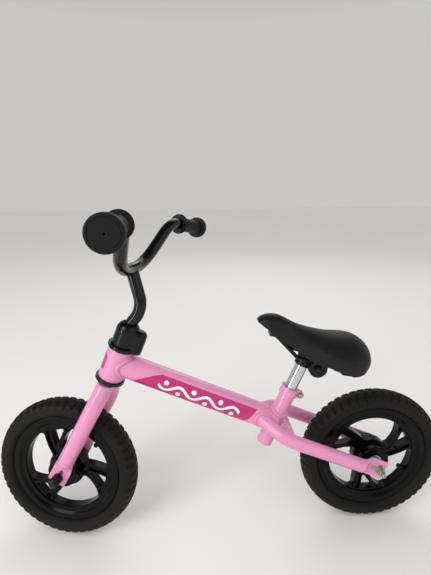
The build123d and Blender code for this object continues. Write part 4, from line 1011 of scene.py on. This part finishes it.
def wrapped_strip(origin, along, facing, radius, edges, columns=48, rows=14):
    """A film patch on a tube; edges gives its start, end and place across for a share from 0 to 1."""
    points, faces = [], []
    for row in range(rows + 1):
        start, end, across = edges(row / rows)
        for column in range(columns + 1):
            place = start + (end - start) * column / columns
            points.append(wrapped(origin, along, facing, radius, across, place))
    for row in range(rows):
        for column in range(columns):
            corner = row * (columns + 1) + column
            faces.append((corner, corner + 1, corner + columns + 2, corner + columns + 1))
    return points, faces


def wrapped_dot(origin, along, facing, radius, middle, size, rings=3, steps=40):
    """A round dot on a tube."""
    points, faces = [wrapped(origin, along, facing, radius, middle[1], middle[0])], []
    for ring in range(1, rings + 1):
        reach = size * ring / rings
        for step in range(steps):
            angle = 2 * pi * step / steps
            across, place = middle[1] + reach * sin(angle), middle[0] + reach * cos(angle)
            points.append(wrapped(origin, along, facing, radius, across, place))
    for step in range(steps):
        after = (step + 1) % steps
        faces.append((0, 1 + after, 1 + step))
        for ring in range(rings - 1):
            inner, outer = 1 + ring * steps, 1 + (ring + 1) * steps
            faces.append((inner + step, inner + after, outer + after, outer + step))
    return points, faces


def wrapped_wave(origin, along, facing, radius, span, swing, length, width, columns=120, rows=3):
    """A ribbon on a tube that swings from side to side."""
    points, faces = [], []
    for column in range(columns + 1):
        place = span[0] + (span[1] - span[0]) * column / columns
        phase = 2 * pi * (place - span[0]) / length
        lean = swing * 2 * pi / length * cos(phase)
        thick = width * sqrt(1 + lean * lean)
        for row in range(rows + 1):
            across = swing * sin(phase) + thick * (row / rows - 0.5)
            points.append(wrapped(origin, along, facing, radius, across, place))
    for column in range(columns):
        for row in range(rows):
            corner = column * (rows + 1) + row
            faces.append((corner, corner + 1, corner + rows + 2, corner + rows + 1))
    return points, faces


def film(parts):
    """One mesh of several patches."""
    points, faces = [], []
    for part_points, part_faces in parts:
        base = len(points)
        points += part_points
        faces += [tuple(base + corner for corner in face) for face in part_faces]
    mesh = bpy.data.meshes.new("film")
    mesh.from_pydata(points, [], faces)
    mesh.polygons.foreach_set("use_smooth", [True] * len(mesh.polygons))
    return mesh


class BIKE_OT_films(Operator):
    """Stick plain printed films on the main tube and the head tube"""

    bl_idname = "bike.films"
    bl_label = "Films"

    def execute(self, context):
        lift = context.scene.bike_sizes.film_thickness
        # Printed vinyl film under a gloss lacquer.
        magenta = finish(
            "printed vinyl film",
            context.scene.bike_colours.band_magenta,
            linear("#B52566"),
            grain_mm=2.4,
            depth_mm=0.008,
            rough=(0.22, 0.3),
        )[0]
        white = finish(
            "white vinyl film",
            linear("#F1ECEE"),
            linear("#E8E2E5"),
            grain_mm=2.4,
            depth_mm=0.008,
            rough=(0.24, 0.32),
        )[0]
        for side, sign in (("left", 1), ("right", -1)):
            facing = (LEFT * sign - Vector((0, 0, 0.06))).normalized()
            facing = (facing - MAIN_DIR * facing.dot(MAIN_DIR)).normalized()

            def band(share, sign=sign):
                across = (share - 0.5) * BAND_WIDTH
                height = share if sign < 0 else 1 - share
                start = BAND_START + BAND_START_LEAN * height**BAND_START_CURVE
                return start, BAND_END + BAND_END_LEAN * height, across

            tube = (HEAD_POINT, MAIN_DIR, facing)
            mesh = film([wrapped_strip(*tube, MAIN_RADIUS + lift, band)])
            self.outward(mesh, HEAD_POINT, MAIN_DIR)
            add_piece(f"{side}_tube_film", mesh, magenta, "frame")
            over = MAIN_RADIUS + 2 * lift
            motifs = [wrapped_wave(*tube, over, WAVE_SPAN, WAVE_SWING, WAVE_LENGTH, WAVE_WIDTH)]
            for place in range(DOT_COUNT):
                along = WAVE_SPAN[0] + WAVE_LENGTH * (place / 2 + 0.25)
                across = DOT_OFFSET * (1 if place % 2 else -1)
                motifs.append(wrapped_dot(*tube, over, (along, across), DOT_RADIUS))
            mesh = film(motifs)
            self.outward(mesh, HEAD_POINT, MAIN_DIR)
            add_piece(f"{side}_tube_motifs", mesh, white, "frame")
        ahead = LEFT.cross(STEER_UP)
        head = (HEAD_POINT, STEER_UP, ahead)

        def shield(share):
            across = (share - 0.5) * SHIELD_WIDTH
            draw_in = SHIELD_CURVE * (2 * share - 1) ** 2
            return draw_in - SHIELD_HALF, SHIELD_HALF - draw_in, across

        plate = film([wrapped_strip(*head, HEAD_RADIUS + lift, shield, 16, 16)])
        self.outward(plate, HEAD_POINT, STEER_UP)
        add_piece("head_film", plate, magenta, "frame")
        over = HEAD_RADIUS + 2 * lift
        places = (-HEAD_DOT_STEP, 0.0, HEAD_DOT_STEP)
        dots = film([wrapped_dot(*head, over, (place, 0.0), HEAD_DOT_RADIUS) for place in places])
        self.outward(dots, HEAD_POINT, STEER_UP)
        add_piece("head_motif", dots, white, "frame")
        return {"FINISHED"}

    def outward(self, mesh, point, axis):
        """Turn the film's faces away from the tube's axis."""
        middle = mesh.polygons[0].center - point
        if mesh.polygons[0].normal.dot(middle - axis * middle.dot(axis)) < 0:
            mesh.flip_normals()


class BIKE_OT_stage(Operator):
    """Set up the floor, the light and the camera"""

    bl_idname = "bike.stage"
    bl_label = "Stage"

    def execute(self, context):
        scene = context.scene
        scene.view_settings.view_transform = "Standard"
        self.lay_floor(scene)
        self.light_room(scene)
        self.hang_lamps(scene)
        self.aim_camera(scene)
        return {"FINISHED"}

    def lay_floor(self, scene):
        """A wide pale floor just under the tyres."""
        signs = ((-1, -1), (1, -1), (1, 1), (-1, 1))
        corners = [(x * FLOOR_REACH, y * FLOOR_REACH, FLOOR_HEIGHT) for x, y in signs]
        floor_mesh = bpy.data.meshes.new("floor")
        floor_mesh.from_pydata(corners, [], [(0, 1, 2, 3)])
        floor = bpy.data.objects.new("floor", floor_mesh)
        scene.collection.objects.link(floor)
        matt = finish(
            "pale matt floor",
            linear("#E6E4E0"),
            linear("#E2E0DC"),
            grain_mm=4,
            depth_mm=0.01,
            rough=(0.75, 0.85),
            patch_mm=900,
        )[0]
        floor_mesh.materials.append(matt)

    def light_room(self, scene):
        """Soft light from all round, with a quiet room for the camera and the reflections."""
        world = bpy.data.worlds.new("studio")
        world.use_nodes = True
        scene.world = world
        tree = world.node_tree
        tree.nodes.clear()
        rays = add_node(tree, "ShaderNodeLightPath")
        camera_ray, glossy_ray = rays.outputs["Is Camera Ray"], rays.outputs["Is Glossy Ray"]
        seen = maths(tree, "MAXIMUM", camera_ray, glossy_ray)
        shown = maths(tree, "MAXIMUM", seen, rays.outputs["Is Transmission Ray"])
        soft = add_node(
            tree, "ShaderNodeBackground", {"Color": linear("#FFFFFF"), "Strength": 0.74}
        )
        # The room is pale at eye level and darker towards its ceiling.
        ways = add_node(tree, "ShaderNodeTexCoord")
        split = add_node(tree, "ShaderNodeSeparateXYZ", None, {0: ways.outputs["Generated"]})
        height = ranged(tree, split.outputs["Z"], (0.34, 0.75), (0, 1))
        room = add_node(
            tree,
            "ShaderNodeMix",
            {MIX_A: linear("#C8C7C4"), MIX_B: linear("#4A4B4E")},
            {"Factor": height},
            data_type="RGBA",
        )
        pale = add_node(
            tree,
            "ShaderNodeBackground",
            {"Strength": 1.0},
            {"Color": room.outputs[MIX_RESULT]},
        )
        both = add_node(
            tree,
            "ShaderNodeMixShader",
            None,
            {0: shown, 1: soft.outputs[0], 2: pale.outputs[0]},
        )
        add_node(tree, "ShaderNodeOutputWorld", None, {"Surface": both.outputs[0]})

    def hang_lamps(self, scene):
        """Four lamps that face the bike; each row has a place, a width, a height and a power."""
        middle = Vector((0, 0, 0.3))
        for name, place, width, height, power in (
            ("window light", (1.5, 1.7, 2.3), 1.6, 1.6, 34),
            ("window strip", (1.9, 1.3, 0.62), 0.22, 1.1, 13),
            ("room light", (-1.9, 1.5, 1.6), 2.2, 2.2, 10),
            ("back light", (-0.5, -2.2, 2.0), 1.8, 1.8, 12),
        ):
            lamp = bpy.data.lights.new(name, "AREA")
            lamp.shape = "RECTANGLE"
            lamp.size = width
            lamp.size_y = height
            lamp.energy = power
            holder = bpy.data.objects.new(name, lamp)
            holder.location = place
            holder.rotation_euler = (middle - Vector(place)).to_track_quat("-Z", "Y").to_euler()
            holder.visible_camera = False
            scene.collection.objects.link(holder)

    def aim_camera(self, scene):
        """A camera where the photograph was taken from."""
        lens = bpy.data.cameras.new("camera")
        lens.sensor_width = 36
        lens.lens = FOCAL_PIXELS * lens.sensor_width / PICTURE_HEIGHT
        lens.clip_start = 0.01
        camera = bpy.data.objects.new("camera", lens)
        scene.collection.objects.link(camera)
        ahead = Vector(CAMERA_AHEAD).normalized()
        right = Vector(CAMERA_RIGHT)
        right = (right - ahead * right.dot(ahead)).normalized()
        turned = Matrix((right, right.cross(ahead), -ahead)).transposed().to_4x4()
        camera.matrix_world = Matrix.Translation(CAMERA_PLACE) @ turned
        scene.camera = camera


class BIKE_PT_panel(Panel):
    """Lists the steps that dress the bike"""

    bl_label = "Balance bike"
    bl_idname = "BIKE_PT_panel"
    bl_space_type = "VIEW_3D"
    bl_region_type = "UI"
    bl_category = "Bike"

    def draw(self, context):
        for step in STEPS:
            self.layout.operator(step.bl_idname)
        for group in (context.scene.bike_colours, context.scene.bike_sizes):
            for name in group.__annotations__:
                self.layout.prop(group, name)


STEPS = (
    BIKE_OT_frame_finish,
    BIKE_OT_bar_finish,
    BIKE_OT_wheel_finish,
    BIKE_OT_metal_finish,
    BIKE_OT_saddle,
    BIKE_OT_tyres,
    BIKE_OT_welds,
    BIKE_OT_threads,
    BIKE_OT_films,
    BIKE_OT_stage,
)
CLASSES = (BikeColours, BikeSizes, *STEPS, BIKE_PT_panel)


def register():
    for kind in CLASSES:
        bpy.utils.register_class(kind)
    bpy.types.Scene.bike_colours = PointerProperty(type=BikeColours)
    bpy.types.Scene.bike_sizes = PointerProperty(type=BikeSizes)


def unregister():
    del bpy.types.Scene.bike_sizes
    del bpy.types.Scene.bike_colours
    for kind in reversed(CLASSES):
        bpy.utils.unregister_class(kind)


def main():
    register()
    bpy.ops.bike.frame_finish()
    bpy.ops.bike.bar_finish()
    bpy.ops.bike.wheel_finish()
    bpy.ops.bike.metal_finish()
    bpy.ops.bike.saddle()
    bpy.ops.bike.tyres()
    bpy.ops.bike.welds()
    bpy.ops.bike.threads()
    bpy.ops.bike.films()
    bpy.ops.bike.stage()


if __name__ == "__main__":
    main()
